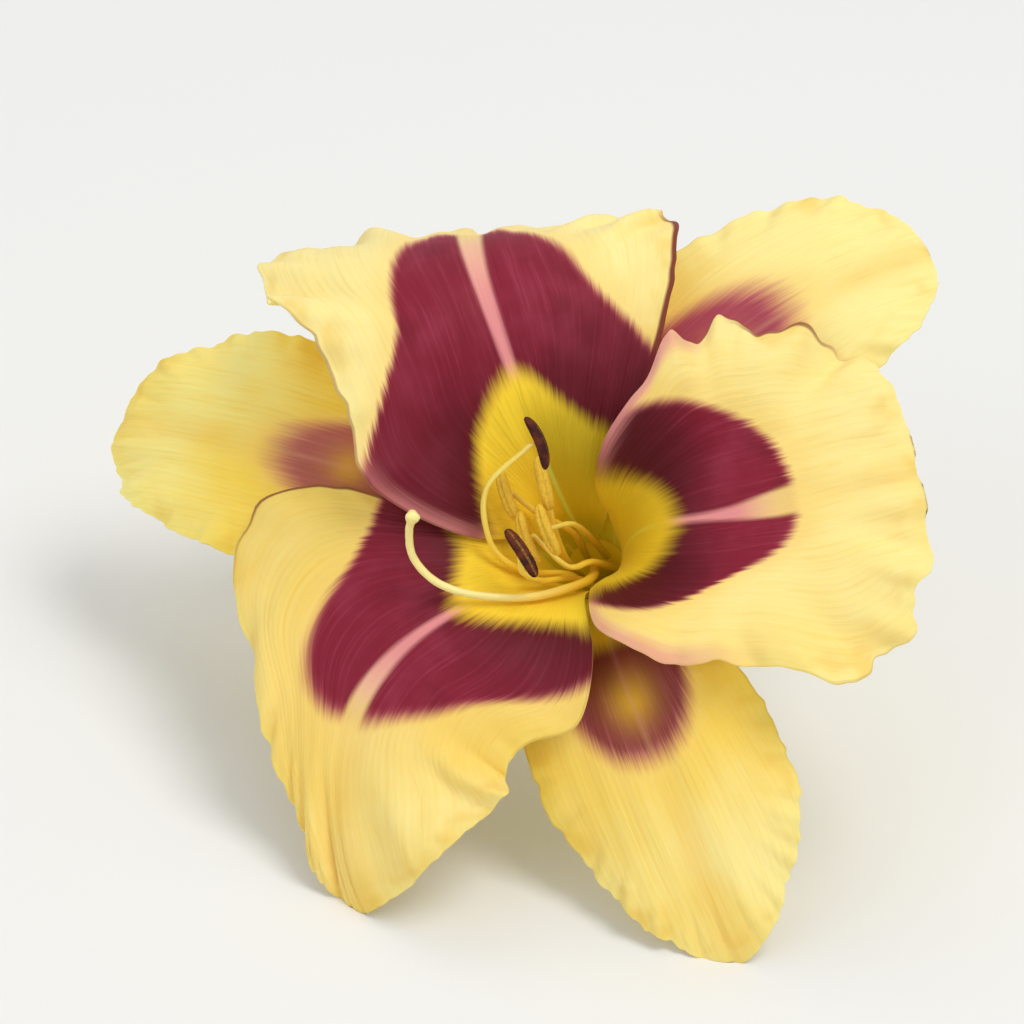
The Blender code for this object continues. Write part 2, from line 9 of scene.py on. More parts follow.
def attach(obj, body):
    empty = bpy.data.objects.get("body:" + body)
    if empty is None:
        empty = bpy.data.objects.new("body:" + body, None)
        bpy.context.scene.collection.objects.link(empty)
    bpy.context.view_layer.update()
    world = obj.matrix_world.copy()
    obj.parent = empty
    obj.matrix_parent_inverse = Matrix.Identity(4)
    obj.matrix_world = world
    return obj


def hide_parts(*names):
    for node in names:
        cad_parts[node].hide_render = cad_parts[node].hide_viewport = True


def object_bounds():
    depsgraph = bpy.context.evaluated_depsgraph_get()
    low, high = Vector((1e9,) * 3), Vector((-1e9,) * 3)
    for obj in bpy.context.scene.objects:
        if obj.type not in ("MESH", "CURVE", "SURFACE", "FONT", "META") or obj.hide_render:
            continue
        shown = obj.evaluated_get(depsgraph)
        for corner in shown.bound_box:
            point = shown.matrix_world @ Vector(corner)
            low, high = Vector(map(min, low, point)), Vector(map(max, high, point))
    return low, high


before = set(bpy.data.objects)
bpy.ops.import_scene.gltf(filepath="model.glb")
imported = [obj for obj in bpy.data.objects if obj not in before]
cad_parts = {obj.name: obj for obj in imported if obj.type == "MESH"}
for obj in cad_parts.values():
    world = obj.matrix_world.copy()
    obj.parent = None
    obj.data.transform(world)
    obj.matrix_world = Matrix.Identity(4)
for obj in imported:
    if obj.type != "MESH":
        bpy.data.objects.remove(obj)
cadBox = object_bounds()
print("frame loaded")

mm = 0.001

# The way up, seen in the flower's own frame, and where the mouth of its tube lies, in millimetres.
# In that frame the mouth is the origin and +Z runs out of the flower's face.
pose = {"up": (0.2557864, 0.6502968, 0.7153233), "mouth": (10.1813, 7.7013, 26.391)}


def unit(vectors):
    return vectors / np.linalg.norm(vectors, axis=-1, keepdims=True)


def poseTurn():
    up = unit(np.array(pose["up"]))
    face = np.array([0, 0, 1.0])
    forward = unit(face - face @ up * up)
    return np.stack([np.cross(-forward, up), -forward, up])


turnToWorld = poseTurn()


def toWorld(points):
    # from the flower's frame, with nothing under the surface that it lies on
    world = points @ turnToWorld.T + np.array(pose["mouth"])
    world[..., 2] = np.maximum(world[..., 2], 0)
    return world


def roundTurns(count):
    return np.linspace(0, 2 * math.pi, count, endpoint=False)


def ease(low, high, x):
    t = np.clip((x - low) / (high - low), 0, 1)
    return t * t * (3 - 2 * t)


def through(stops, x):
    # a smooth curve through stops of (place, value)
    places, values = np.array(stops, float).T
    slopes = np.gradient(values, places)
    x = np.clip(x, 0, 1)
    i = np.clip(np.searchsorted(places, x, side="right") - 1, 0, len(places) - 2)
    span = places[i + 1] - places[i]
    t = (x - places[i]) / span
    rise = values[i + 1] - values[i]
    return (values[i] + rise * t * t * (3 - 2 * t)
            + span * t * (1 - t) * (slopes[i] * (1 - t) - slopes[i + 1] * t))


def ripple(terms, way):
    return sum(height * np.sin(2 * math.pi * way / length + phase) for height, length, phase in terms)


def softNoise(x, y, seed):
    # smooth random heights from -1 to 1, one lattice cell to a unit
    cells = 64
    draw = np.random.default_rng(seed).uniform(-1, 1, (cells, cells))
    i, j = np.floor(x).astype(int), np.floor(y).astype(int)
    u, v = ease(0, 1, x - i), ease(0, 1, y - j)
    low, high = (draw[i % cells, k % cells] * (1 - u) + draw[(i + 1) % cells, k % cells] * u
                 for k in (j, j + 1))
    return low * (1 - v) + high * v


def addObject(name, data):
    thing = bpy.data.objects.new(name, data)
    bpy.context.scene.collection.objects.link(thing)
    return thing


def addPiece(name, points, faces, material, replaced, facts):
    mesh = bpy.data.meshes.new(name)
    mesh.from_pydata((toWorld(points) * mm).tolist(), [], faces)
    for fact, values in facts.items():
        layer = mesh.attributes.new(fact, "FLOAT", "POINT")
        layer.data.foreach_set("value", np.asarray(values, np.float32))
    mesh.shade_smooth()
    mesh.materials.append(material)
    piece = addObject(name, mesh)
    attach(piece, "root")
    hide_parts(*replaced)


def loftFaces(rings, around, capped=True):
    # quads between closed rings of points, with a fan on each end round a last pair of points
    pairs = [(j, (j + 1) % around) for j in range(around)]
    last = (rings - 1) * around
    faces = [(row + j, row + k, row + around + k, row + around + j)
             for row in range(0, last, around) for j, k in pairs]
    if capped:
        start, end = last + around, last + around + 1
        for j, k in pairs:
            faces += [(start, k, j), (end, last + j, last + k)]
    return faces


# Shader maths

def srgb(red, green, blue):
    parts = [c / 255 for c in (red, green, blue)]
    return tuple(c / 12.92 if c <= 0.04045 else ((c + 0.055) / 1.055) ** 2.4 for c in parts)


def tonesOf(sizes):
    # the colours of a dictionary, which are its triples
    return SimpleNamespace(**{key: srgb(*value) for key, value in sizes.items()
                              if isinstance(value, tuple) and len(value) == 3})


def operator(operation, swapped=False):
    def apply(*values):
        return values[0].graph.math(operation, *(reversed(values) if swapped else values))
    return apply


class Wire:
    # a socket that is added, multiplied and so on like a number
    def __init__(self, graph, socket):
        self.graph = graph
        self.socket = socket

    __add__ = __radd__ = operator("ADD")
    __sub__, __rsub__ = operator("SUBTRACT"), operator("SUBTRACT", swapped=True)
    __mul__ = __rmul__ = operator("MULTIPLY")
    __truediv__, __rtruediv__ = operator("DIVIDE"), operator("DIVIDE", swapped=True)
    __pow__, __rpow__ = operator("POWER"), operator("POWER", swapped=True)
    __abs__ = operator("ABSOLUTE")


class Graph:
    def __init__(self, name, **fixed):
        self.material = bpy.data.materials.new(name)
        self.material.use_nodes = True
        self.tree = self.material.node_tree
        self.shader = self.tree.nodes["Principled BSDF"]
        for socket, value in fixed.items():
            self.shader.inputs[socket.replace("_", " ")].default_value = value

    def node(self, kind, settings=None, sockets=None, output=0):
        made = self.tree.nodes.new(kind)
        for key, value in (settings or {}).items():
            setattr(made, key, value)
        for key, value in (sockets or {}).items():
            socket = made.inputs[key]
            if isinstance(value, Wire):
                self.tree.links.new(value.socket, socket)
            elif isinstance(value, tuple) and socket.type == "RGBA":
                socket.default_value = (*value, 1)
            else:
                socket.default_value = value
        return Wire(self, made.outputs[output])

    def math(self, operation, first, second=0):
        return self.node("ShaderNodeMath", {"operation": operation}, {0: first, 1: second})

    def fact(self, name):
        return self.node("ShaderNodeAttribute", {"attribute_name": name}, output=2)

    def step(self, low, high, value):
        # 0 below low, 1 above high and smooth between, or the other way round
        if low > high:
            return 1 - self.step(high, low, value)
        settings = {"interpolation_type": "SMOOTHSTEP"}
        return self.node("ShaderNodeMapRange", settings, {0: value, 1: low, 2: high})

    def mix(self, share, first, second):
        sockets = {0: share, 6: first, 7: second}
        return self.node("ShaderNodeMix", {"data_type": "RGBA"}, sockets, output=2)

    def noise(self, place, scale, detail, rough):
        sockets = {"Vector": place, "Scale": scale, "Detail": detail, "Roughness": rough}
        return self.node("ShaderNodeTexNoise", None, sockets)

    def clouds(self, x, y, z, detail=2, rough=0.5):
        # noise about zero, over facts of the piece
        place = self.node("ShaderNodeCombineXYZ", None, {0: x, 1: y, 2: z})
        return self.noise(place, 1, detail, rough) - 0.5

    def grain(self, scale, detail=2, rough=0.5):
        # noise in the piece's own space, scale cells to a metre
        return self.noise(self.node("ShaderNodeTexCoord", output=3), scale, detail, rough)

    def feed(self, socket, wire):
        self.tree.links.new(wire.socket, self.shader.inputs[socket])

    def finish(self, colour, height, strength, distance):
        self.feed("Base Color", colour)
        sockets = {"Height": height, "Strength": strength, "Distance": distance}
        self.feed("Normal", self.node("ShaderNodeBump", None, sockets))
        return self.material


# Petals and sepals. Curves are stops of (share of the length, value): bend is the angle from the
# flower's axis, sway the turn to the side, twist the turn round the spine, roll the curvature across,
# lift how far a margin stands up, back how far it is swept back and frill the share of the fine crimps
# there. Pairs are for the clockwise side and the other one. Teeth, crimps, nibs and waves are sines of
# (height, length, phase) round the margin. What all six share is in form.

whole = [(0, 1), (1, 1)]
level = [(0, 0), (1, 0)]
petalThroat = [(0, 10), (0.12, 18), (0.24, 32), (0.34, 58), (0.44, 84)]
sepalThroat = [(0, 14), (0.1, 30), (0.2, 48), (0.3, 68), (0.4, 88)]

form = {
    "mouthRadius": 4, "rootHalf": 1.85, "claw": 1.3, "clawStarts": (1.2, 3.4), "clawEnds": (15, 8),
    "stepLength": 5, "limitSharpness": 6, "fullHalf": 25, "spineSteps": 400, "turned": 0.3,
    "midribDepth": 0.6, "midribWidth": 2.2, "midribStarts": (0.3, 0.55),
    "keel": 0.35, "keelWidth": 0.9, "keelEnds": (1, 0.7), "liftReach": (0.3, 0.95),
    "teethStart": (0.3, 0.55), "teethReach": 6, "teethHalf": 20, "calmTip": (0.75, 1), "calming": 0.75,
    "wavesStart": (0.25, 0.6), "wavesReach": 0.45, "wavesPower": 1.3,
    "crimps": [(0.45, 5.3, 0.3), (0.22, 2.9, 1.7)], "crimpsReach": 0.62, "crimpsPower": 1.5,
    "nibs": [(0.16, 2.9, 0.5), (0.1, 1.9, 2)], "nibsReach": 14,
    "thick": 0.7, "thin": 0.26, "thinBand": 3, "rimRound": 0.45,
    "rows": 190, "columns": 118, "tipCrowding": 1.7, "sideCrowding": 0.55, "tipEnd": 0.9997,
    "frontRibs": 0.054, "backRibs": 0.072, "ribsStart": (0.15, 0.45), "ribsFade": 5,
    "pucker": 0.4, "puckerSize": 6.5, "puckerStarts": (0.4, 0.7), "puckerClear": (2, 6),
}

plainForm = {
    "lift": (level, level), "back": (level, level), "frill": (whole, whole), "twist": level, "sway": level,
}
petalForm = plainForm | {
    "width": [(0, 0), (0.06, 0.02), (0.11, 0.13), (0.18, 0.32), (0.3, 0.62), (0.4, 0.86), (0.52, 1), (1, 1)],
    "flattens": (0.12, 0.5), "step": -0.2, "slot": "petal", "ribCount": 13, "veins": 168,
}
sepalForm = plainForm | {
    "width": [(0, 0), (0.06, 0.02), (0.12, 0.12), (0.25, 0.45), (0.45, 0.85), (0.62, 1), (1, 1)],
    "flattens": (0.3, 0.56), "teeth": [(0.2, 9, 1)], "step": 1, "room": (58, 58),
    "slot": "sepal", "ribCount": 9, "veins": 120,
}

tepals = {
    "petal_top": petalForm | {
        "turn": (110, 106), "room": (51, 60), "length": 71, "half": 25, "shoulder": 0.5, "blunt": 2.8,
        "sides": ([(0, 1), (0.35, 1.12), (0.43, 1.22), (0.52, 1.14), (0.6, 1.02), (1, 1)],
                  [(0, 1), (0.36, 1.1), (0.5, 0.86), (0.58, 0.84), (0.67, 1), (1, 1)]),
        "lift": ([(0, 0), (0.1, -0.1), (0.2, -0.8), (0.3, -2.5), (0.55, -2.5), (0.7, 0), (1, 0)],
                 [(0, 0), (0.13, 0), (0.24, 3), (0.4, 3.2), (0.55, 0), (1, 0)]),
        "back": ([(0, 0), (0.38, 0), (0.5, -3.5), (0.65, -5), (0.85, 0), (1, 0)],
                 [(0, 0), (0.18, 0), (0.3, 4.5), (0.4, 4), (0.55, 0), (1, 0)]),
        "sway": [(0, 0), (0.4, 0), (0.7, 6), (1, 6)],
        "bend": [(0, 10), (0.12, 16), (0.24, 28), (0.34, 44), (0.46, 62), (0.57, 86), (0.68, 124),
                 (0.84, 156), (1, 164)],
        "twist": [(0, 0), (0.3, 0), (0.5, 12), (1, 14)],
        "roll": [(0, 0), (0.5, -0.004), (1, -0.006)],
        "waves": [(1.2, 13, 0.4), (0.6, 7.9, 1.4)], "teeth": [(0.25, 7.5, 0.4), (0.2, 11, 1.9)],
        "frill": ([(0, 1), (0.45, 0.6), (0.55, 0.1), (0.72, 0.15), (1, 1)], whole),
    },
    "petal_right": petalForm | {
        "turn": (-8, 3), "room": (62, 50), "length": 51.5, "half": 23, "shoulder": 0.52, "blunt": 3.2,
        "sides": ([(0, 1), (0.3, 1), (0.45, 0.9), (0.6, 0.86), (0.76, 1.05), (0.88, 0.98), (1, 0.94)],
                  [(0, 1), (0.3, 1.1), (0.42, 1.14), (0.6, 0.98), (1, 0.92)]),
        "lift": ([(0, 0), (0.16, 0), (0.28, 3), (0.38, 4.6), (0.52, 4), (0.7, 0), (1, 0)],
                 [(0, 0), (0.1, 0.1), (0.18, 0.8), (0.28, 3.6), (0.38, 6.5), (0.52, 7), (0.66, 4.5), (0.8, 1),
                  (1, 0)]),
        "back": ([(0, 0), (0.28, 0), (0.4, 5), (0.52, 5), (0.7, 1), (1, 0)],
                 [(0, 0), (0.25, 0), (0.38, 1), (0.5, 2), (0.7, 1), (1, 0)]),
        "bend": petalThroat + [(0.6, 88), (0.8, 92), (1, 104)],
        "sway": [(0, 0), (0.4, 0), (0.7, 10), (1, 10)],
        "roll": [(0, 0), (0.5, 0.004), (1, -0.01)],
        "waves": [(1.3, 14, 2.4), (0.6, 7.5, 0.4)],
        "teeth": [(0.75, 8.6, 4.2), (0.6, 7.3, 5.5), (0.15, 4.1, 2.2)],
    },
    "petal_foot": petalForm | {
        "turn": (232, 224), "room": (55, 59), "length": 70, "half": 22, "shoulder": 0.46, "blunt": 2.1,
        "sides": ([(0, 1), (0.3, 1.02), (0.4, 1.13), (0.5, 1.44), (0.57, 1.2), (0.64, 0.7), (0.76, 0.44),
                   (1, 0.4)],
                  [(0, 1), (0.3, 1.16), (0.38, 1.14), (0.5, 0.92), (0.65, 0.95), (0.8, 1.2), (1, 1.3)]),
        "lift": (level, [(0, 0), (0.2, 0), (0.36, -1), (0.5, -1), (0.65, 0), (1, 0)]),
        "back": (level, [(0, 0), (0.25, 0), (0.4, 6), (0.5, 4), (0.65, 0), (1, 0)]),
        "bend": petalThroat + [(0.58, 94), (0.8, 112), (1, 128)],
        "sway": [(0, 0), (0.3, 0), (0.42, -9), (0.55, 6), (0.7, 32), (0.86, 52), (1, 60)],
        "roll": [(0, 0), (0.5, -0.01), (1, -0.012)],
        "waves": [(1.1, 16, 2.4), (0.4, 9.5, 0.4)], "teeth": [(0.1, 7.5, 0.4), (0.1, 11, 1.9)],
        "frill": (whole, [(0, 1), (0.3, 0.6), (0.42, 0.08), (0.85, 0.12), (1, 0.8)]),
    },
    "sepal_left": sepalForm | {
        "turn": (172, 162), "length": 75.5, "half": 15.5, "shoulder": 0.6, "blunt": 2.2,
        "sides": (whole, [(0, 1), (0.5, 1), (0.7, 0.9), (1, 0.88)]),
        "bend": sepalThroat + [(0.58, 98), (0.8, 112), (1, 130)],
        "roll": [(0, 0), (0.5, -0.012), (1, -0.02)],
        "waves": [(0.7, 17, 0.5)],
    },
    "sepal_top": sepalForm | {
        "turn": (52, 50), "length": 63.5, "half": 16.5, "shoulder": 0.58, "blunt": 2.4,
        "sides": ([(0, 1), (0.5, 1), (0.7, 0.85), (1, 0.8)], whole),
        "bend": sepalThroat + [(0.58, 94), (0.8, 104), (1, 116)],
        "sway": [(0, 0), (0.4, 0), (0.7, -18), (1, -24)],
        "roll": [(0, 0), (0.5, -0.012), (1, -0.02)],
        "waves": [(0.7, 19, 1.5)],
    },
    "sepal_foot": sepalForm | {
        "turn": (292, 292), "length": 63, "half": 16.5, "shoulder": 0.54, "blunt": 1.6,
        "sides": ([(0, 1), (0.5, 1), (0.7, 0.92), (1, 0.9)], [(0, 1), (0.6, 1), (0.8, 1.08), (1, 1.05)]),
        "bend": sepalThroat + [(0.58, 100), (0.8, 112), (1, 124)],
        "roll": [(0, 0), (0.5, -0.02), (1, -0.02)],
        "waves": [(0.7, 21, 0.5)],
    },
}


def spineOf(tepal, s):
    fine = np.linspace(0, 1, form["spineSteps"] + 1)
    bend = np.radians(through(tepal["bend"], fine))
    side = np.radians(through(tepal["sway"], fine))
    heading = np.stack([np.sin(bend) * np.cos(side), np.sin(side), np.cos(bend) * np.cos(side)], -1)
    steps = (heading[1:] + heading[:-1]) / 2 * tepal["length"] / form["spineSteps"]
    path = np.vstack([np.zeros(3), np.cumsum(steps, 0)]) + [form["mouthRadius"], 0, 0]
    centre, along = (np.stack([np.interp(s, fine, part) for part in rows.T], -1) for rows in (path, heading))
    along = unit(along)
    bendHere = np.interp(s, fine, bend)
    front = np.stack([-np.cos(bendHere), 0 * bendHere, np.sin(bendHere)], -1)
    front = unit(front - (front * along).sum(-1, keepdims=True) * along)
    return centre, along, front


def sideCurve(tepal, curves, s, v):
    return np.where(v < 0, *(through(stops, s) for stops in tepal[curves]))


def halfWidth(tepal, s, v, reach, flat):
    side = sideCurve(tepal, "sides", s, v)
    room = np.radians(np.where(v < 0, *tepal["room"]))
    grown = form["rootHalf"] + (tepal["half"] - form["rootHalf"]) * through(tepal["width"], s)
    fromRoot = s * tepal["length"]
    grown = grown + form["claw"] * ease(*form["clawStarts"], fromRoot) * ease(*form["clawEnds"], fromRoot)
    limit = np.maximum(reach, 1) * (room + (np.tan(room) - room) * flat)
    sharp = form["limitSharpness"]
    return ((grown * side) ** -sharp + limit ** -sharp) ** (-1 / sharp)


def tepalSurface(tepal, s, v):
    # middle surface in the flower's frame, with what its detail and its colours are worked out from
    flat = ease(*tepal["flattens"], s)
    reach = spineOf(tepal, s)[0][..., 0]
    blunt, shoulder, length = tepal["blunt"], tepal["shoulder"], tepal["length"]
    q = np.clip((s - shoulder) / (1 - shoulder), 0, 1)
    close = (1 - q ** blunt) ** (1 / blunt)
    nearness = (q ** blunt + (1 - q ** blunt) * np.abs(v) ** blunt) ** (1 / blunt)
    tipLength = (1 - shoulder) * length
    tipRun = 0.5 * math.pi * math.sqrt((tipLength ** 2 + tepal["half"] ** 2) / 2)
    turn = np.arctan2(np.abs(v) * close, np.maximum(q, 1e-6))
    way = np.where(s > shoulder, turn / (math.pi / 2) * tipRun, tipRun + (shoulder - s) * length)
    way = way * np.where(v < 0, -1, 1)

    calm = 1 - form["calming"] * ease(*form["calmTip"], q)
    started = ease(*form["teethStart"], s)
    teeth = nearness ** form["teethReach"] * ripple(tepal["teeth"], way) * started * calm
    frill = sideCurve(tepal, "frill", s, v) * started * calm * tepal["half"] / form["fullHalf"]
    teeth = teeth + nearness ** form["nibsReach"] * ripple(form["nibs"], way) * frill
    tooth = 1 + teeth / form["teethHalf"]
    width = halfWidth(tepal, s, v, reach, flat)
    across = v * width * close * tooth
    centre, along, front = spineOf(tepal, np.clip(s + (tooth - 1) * q * (1 - shoulder), 0, 1))

    inward = unit((1 - flat)[..., None] * np.array([-1.0, 0, 0]) + flat[..., None] * front)
    inward = unit(inward - (inward * along).sum(-1, keepdims=True) * along * flat[..., None])
    sideways = np.cross(front, along)
    twist = np.radians(through(tepal["twist"], s))[..., None]
    sideways, inward = (sideways * np.cos(twist) + inward * np.sin(twist),
                        inward * np.cos(twist) - sideways * np.sin(twist))
    curvature = (1 - flat) / np.maximum(centre[..., 0], 1) + flat * through(tepal["roll"], s)
    curvature = np.where(np.abs(curvature) < 1e-5, 1e-5, curvature)
    angle = curvature * across
    points = (centre + sideways * (np.sin(angle) / curvature)[..., None]
              + inward * ((1 - np.cos(angle)) / curvature)[..., None])
    normal = inward * np.cos(angle)[..., None] - sideways * np.sin(angle)[..., None]

    wave = ripple(tepal["waves"], way) * calm * ease(form["wavesReach"], 1, nearness) ** form["wavesPower"]
    wave = wave * ease(*form["wavesStart"], s)
    crimp = ripple(form["crimps"], way) * frill
    crimp = crimp * ease(form["crimpsReach"], 1, nearness) ** form["crimpsPower"]
    groove = np.exp(-(across / form["midribWidth"]) ** 2) * ease(*form["midribStarts"], s)
    layer = tepal["step"] * ease(0, form["stepLength"], s * length)
    size = form["puckerSize"]
    pucker = softNoise(across / size + 20, s * length / (size * 1.6), tepal["turn"][0] % 90)
    pucker = pucker * form["pucker"] * ease(*form["puckerStarts"], s)
    pucker = pucker * ease(*form["puckerClear"], np.abs(across))
    raised = ease(*form["liftReach"], np.abs(v))
    lift, back = (sideCurve(tepal, curves, s, v) * raised for curves in ("lift", "back"))
    height = wave + crimp + pucker + lift - groove * form["midribDepth"] - layer
    points = points + normal * height[..., None] - along * back[..., None]

    rootTurn, bladeTurn = tepal["turn"]
    spin = np.radians(rootTurn + (bladeTurn - rootTurn) * ease(0, form["turned"], s))
    x = points[..., 0] * np.cos(spin) - points[..., 1] * np.sin(spin)
    y = points[..., 0] * np.sin(spin) + points[..., 1] * np.cos(spin)
    radius = np.hypot(width * np.sin(turn), tipLength * np.cos(turn))
    facts = {
        "along": s * length, "across": across, "rim": (1 - nearness) * np.where(s > shoulder, radius, width),
        "fan": v * close, "groove": groove,
    }
    return np.stack([x, y, points[..., 2]], -1), facts


def makeTepal(name, tepal, material):
    # two faces over the middle surface, thin at the margin, joined by a round rim
    rows, columns = form["rows"], form["columns"]
    s = (1 - (1 - np.linspace(0, 1, rows)) ** form["tipCrowding"]) * form["tipEnd"]
    u = np.linspace(-1, 1, columns + 1)
    v = u * (1 - form["sideCrowding"]) + np.sin(u * math.pi / 2) * form["sideCrowding"]
    middle, facts = tepalSurface(tepal, *np.meshgrid(s, v, indexing="ij"))
    normal = unit(np.cross(np.gradient(middle, axis=0), np.gradient(middle, axis=1)))
    rib = np.cos(facts["fan"] * math.pi * tepal["ribCount"]) * ease(*form["ribsStart"], s)[:, None]
    rib = rib * ease(0, form["ribsFade"], facts["rim"])
    half = (form["thin"] + (form["thick"] - form["thin"]) * ease(0, form["thinBand"], facts["rim"])) / 2
    keel = np.exp(-(facts["across"] / form["keelWidth"]) ** 2) * form["keel"]
    keel = keel * ease(*form["keelEnds"], s)[:, None]
    front = middle + normal * (half + rib * form["frontRibs"])[..., None]
    back = middle - normal * (half + keel - rib * form["backRibs"])[..., None]
    outward = unit(np.gradient(middle, axis=1)) * form["thin"] * form["rimRound"]
    left, right = middle[:, :1] - outward[:, :1], middle[:, -1:] + outward[:, -1:]

    rings = np.concatenate([front, right, back[:, ::-1], left], 1)
    around = rings.shape[1]
    faces = [face[::-1] for face in loftFaces(rows, around, capped=False)]
    ends = [(j, j + 1, around - 3 - j, around - 2 - j) for j in range(columns)]
    ends += [(columns, columns + 1, columns + 2), (around - 1, 0, around - 2)]
    last = (rows - 1) * around
    faces += ends + [tuple(last + k for k in end[::-1]) for end in ends]

    written = {key: np.concatenate([value, value[:, -1:], value[:, ::-1], value[:, :1]], 1).ravel()
               for key, value in facts.items()}
    side = np.concatenate([np.ones(columns + 1), [0.5], np.zeros(columns + 1), [0.5]])
    written["front"] = np.tile(side, rows)
    addPiece(name + "_flesh", rings.reshape(-1, 3), faces, material, [name], written)


# Colours of the petals and sepals, and the sizes of their markings in millimetres. Pairs are for the
# clockwise side and the other one. The throat's glow is painted light: an emission that stands in for
# daylight through its thin walls.

# painted light: the strength of the emission that lights the throat and the tube's inside
paintedGlowStrength = 0.25

petalLook = {
    "pale": (254, 231, 154), "mid": (245, 208, 98), "deep": (228, 180, 52), "halo": (248, 208, 116),
    "eye": (134, 24, 46), "eyeDark": (78, 4, 12), "eyeLight": (162, 58, 82), "eyeRim": (204, 110, 108),
    "pink": (240, 156, 154), "cream": (252, 210, 164), "blush": (228, 146, 142),
    "gold": (250, 210, 52), "olive": (212, 180, 30), "green": (184, 180, 44), "line": (214, 226, 92),
    "back": (248, 226, 128), "backGreen": (186, 192, 70), "wire": (112, 26, 30), "glow": (168, 132, 8),
    "warmRoot": 0.3, "cloud": 0.5,
    "goldEnd": 20, "goldPeak": 6, "goldPeakWidth": (7, 7), "oliveEnd": 15, "greenEnd": 8, "oliveAndShadeSide": 0,
    "lineEnd": 20, "lineStrength": 0.3,
    "eyeStart": 20, "eyeRound": (2.5, 2.5), "eyeStrength": 1, "eyeSoft": 0.12, "eyeHole": 0, "feather": 1.3,
    "blushStrength": (0, 0), "blushReach": (14, 33),
    "stripeFade": 6, "stripeStrength": 0.85, "wireAndShadeReach": (20, 48),
}
sepalLook = petalLook | {
    "pale": (254, 232, 152), "mid": (246, 208, 84), "deep": (230, 180, 40), "warmth": 0.3, "warmRoot": 0.7,
    "goldEnd": 21, "goldPeak": 4, "eye": (166, 52, 88), "eyeDark": (124, 28, 44), "eyeLight": (196, 96, 120),
    "eyeFlare": (0, 0), "eyeStrength": 0.85, "eyeSoft": 0.34,
    "eyeHole": 0.85, "holeSize": 2.6, "holeAt": 0.55,
    "feather": 2.4, "stripe": 0.2, "stripeGrowth": 0.1, "stripeStrength": 0.2,
    "wireAndShadeWidth": (0.25, 0.25), "wireAndShadeStrength": (0.12, 0.12),
}
looks = {
    "petal_top": petalLook | {
        "seed": 1, "warmth": 0.05, "eyeEnd": 56, "eyeHalf": (13.5, 12.6), "eyeRound": (2.6, 3),
        "eyeFlare": (0.35, 1.35), "blushStrength": (0, 0.6), "blushReach": (18, 34),
        "gold": (255, 216, 54), "olive": (188, 166, 22), "oliveAndShadeSide": 0.75, "oliveEnd": 9,
        "goldPeakWidth": (6.5, 8.8), "goldEnd": 18.5, "goldPeak": 12.8, "lineEnd": 25, "lineStrength": 0.9,
        "stripe": 0.6, "stripeGrowth": 1, "wireAndShadeWidth": (0.9, 0.35), "wireAndShadeStrength": (0.95, 0.5)},
    "petal_right": petalLook | {
        "seed": 2, "warmth": 0.28, "gold": (228, 188, 34), "oliveEnd": 17, "eyeEnd": 36,
        "eyeHalf": (8.4, 14.5), "eyeFlare": (0.6, 0), "blushStrength": (0.7, 0.85), "goldEnd": 15,
        "stripe": 0.45, "stripeGrowth": 1.5, "stripeFade": 9,
        "wireAndShadeWidth": (0.3, 0.5), "wireAndShadeStrength": (0.2, 0.8), "wireAndShadeReach": (32, 49)},
    "petal_foot": petalLook | {
        "seed": 3, "warmth": 0.55, "eyeEnd": 46, "eyeHalf": (14, 15), "eyeRound": (2.6, 1.75),
        "goldPeak": 7, "goldPeakWidth": (6, 6), "stripe": 0.5, "stripeGrowth": 0.9, "eyeFlare": (0.5, 0.35),
        "wireAndShadeWidth": (0.55, 0.3), "wireAndShadeStrength": (0.85, 0.2), "wireAndShadeReach": (20, 42)},
    "sepal_left": sepalLook | {
        "seed": 4, "eyeEnd": 46, "eyeHalf": (6.5, 6.5), "pale": (255, 240, 156), "mid": (255, 214, 72),
        "warmth": 0.42},
    "sepal_top": sepalLook | {
        "seed": 5, "eyeEnd": 44, "eyeHalf": (7.5, 9), "eyeStrength": 0.96, "warmth": 0.1},
    "sepal_foot": sepalLook | {
        "seed": 6, "eyeEnd": 35, "eyeHalf": (8, 8), "goldEnd": 18, "goldPeak": 0, "eye": (128, 38, 52),
        "eyeStrength": 0.97, "holeSize": 2.9, "holeAt": 0.42},
}


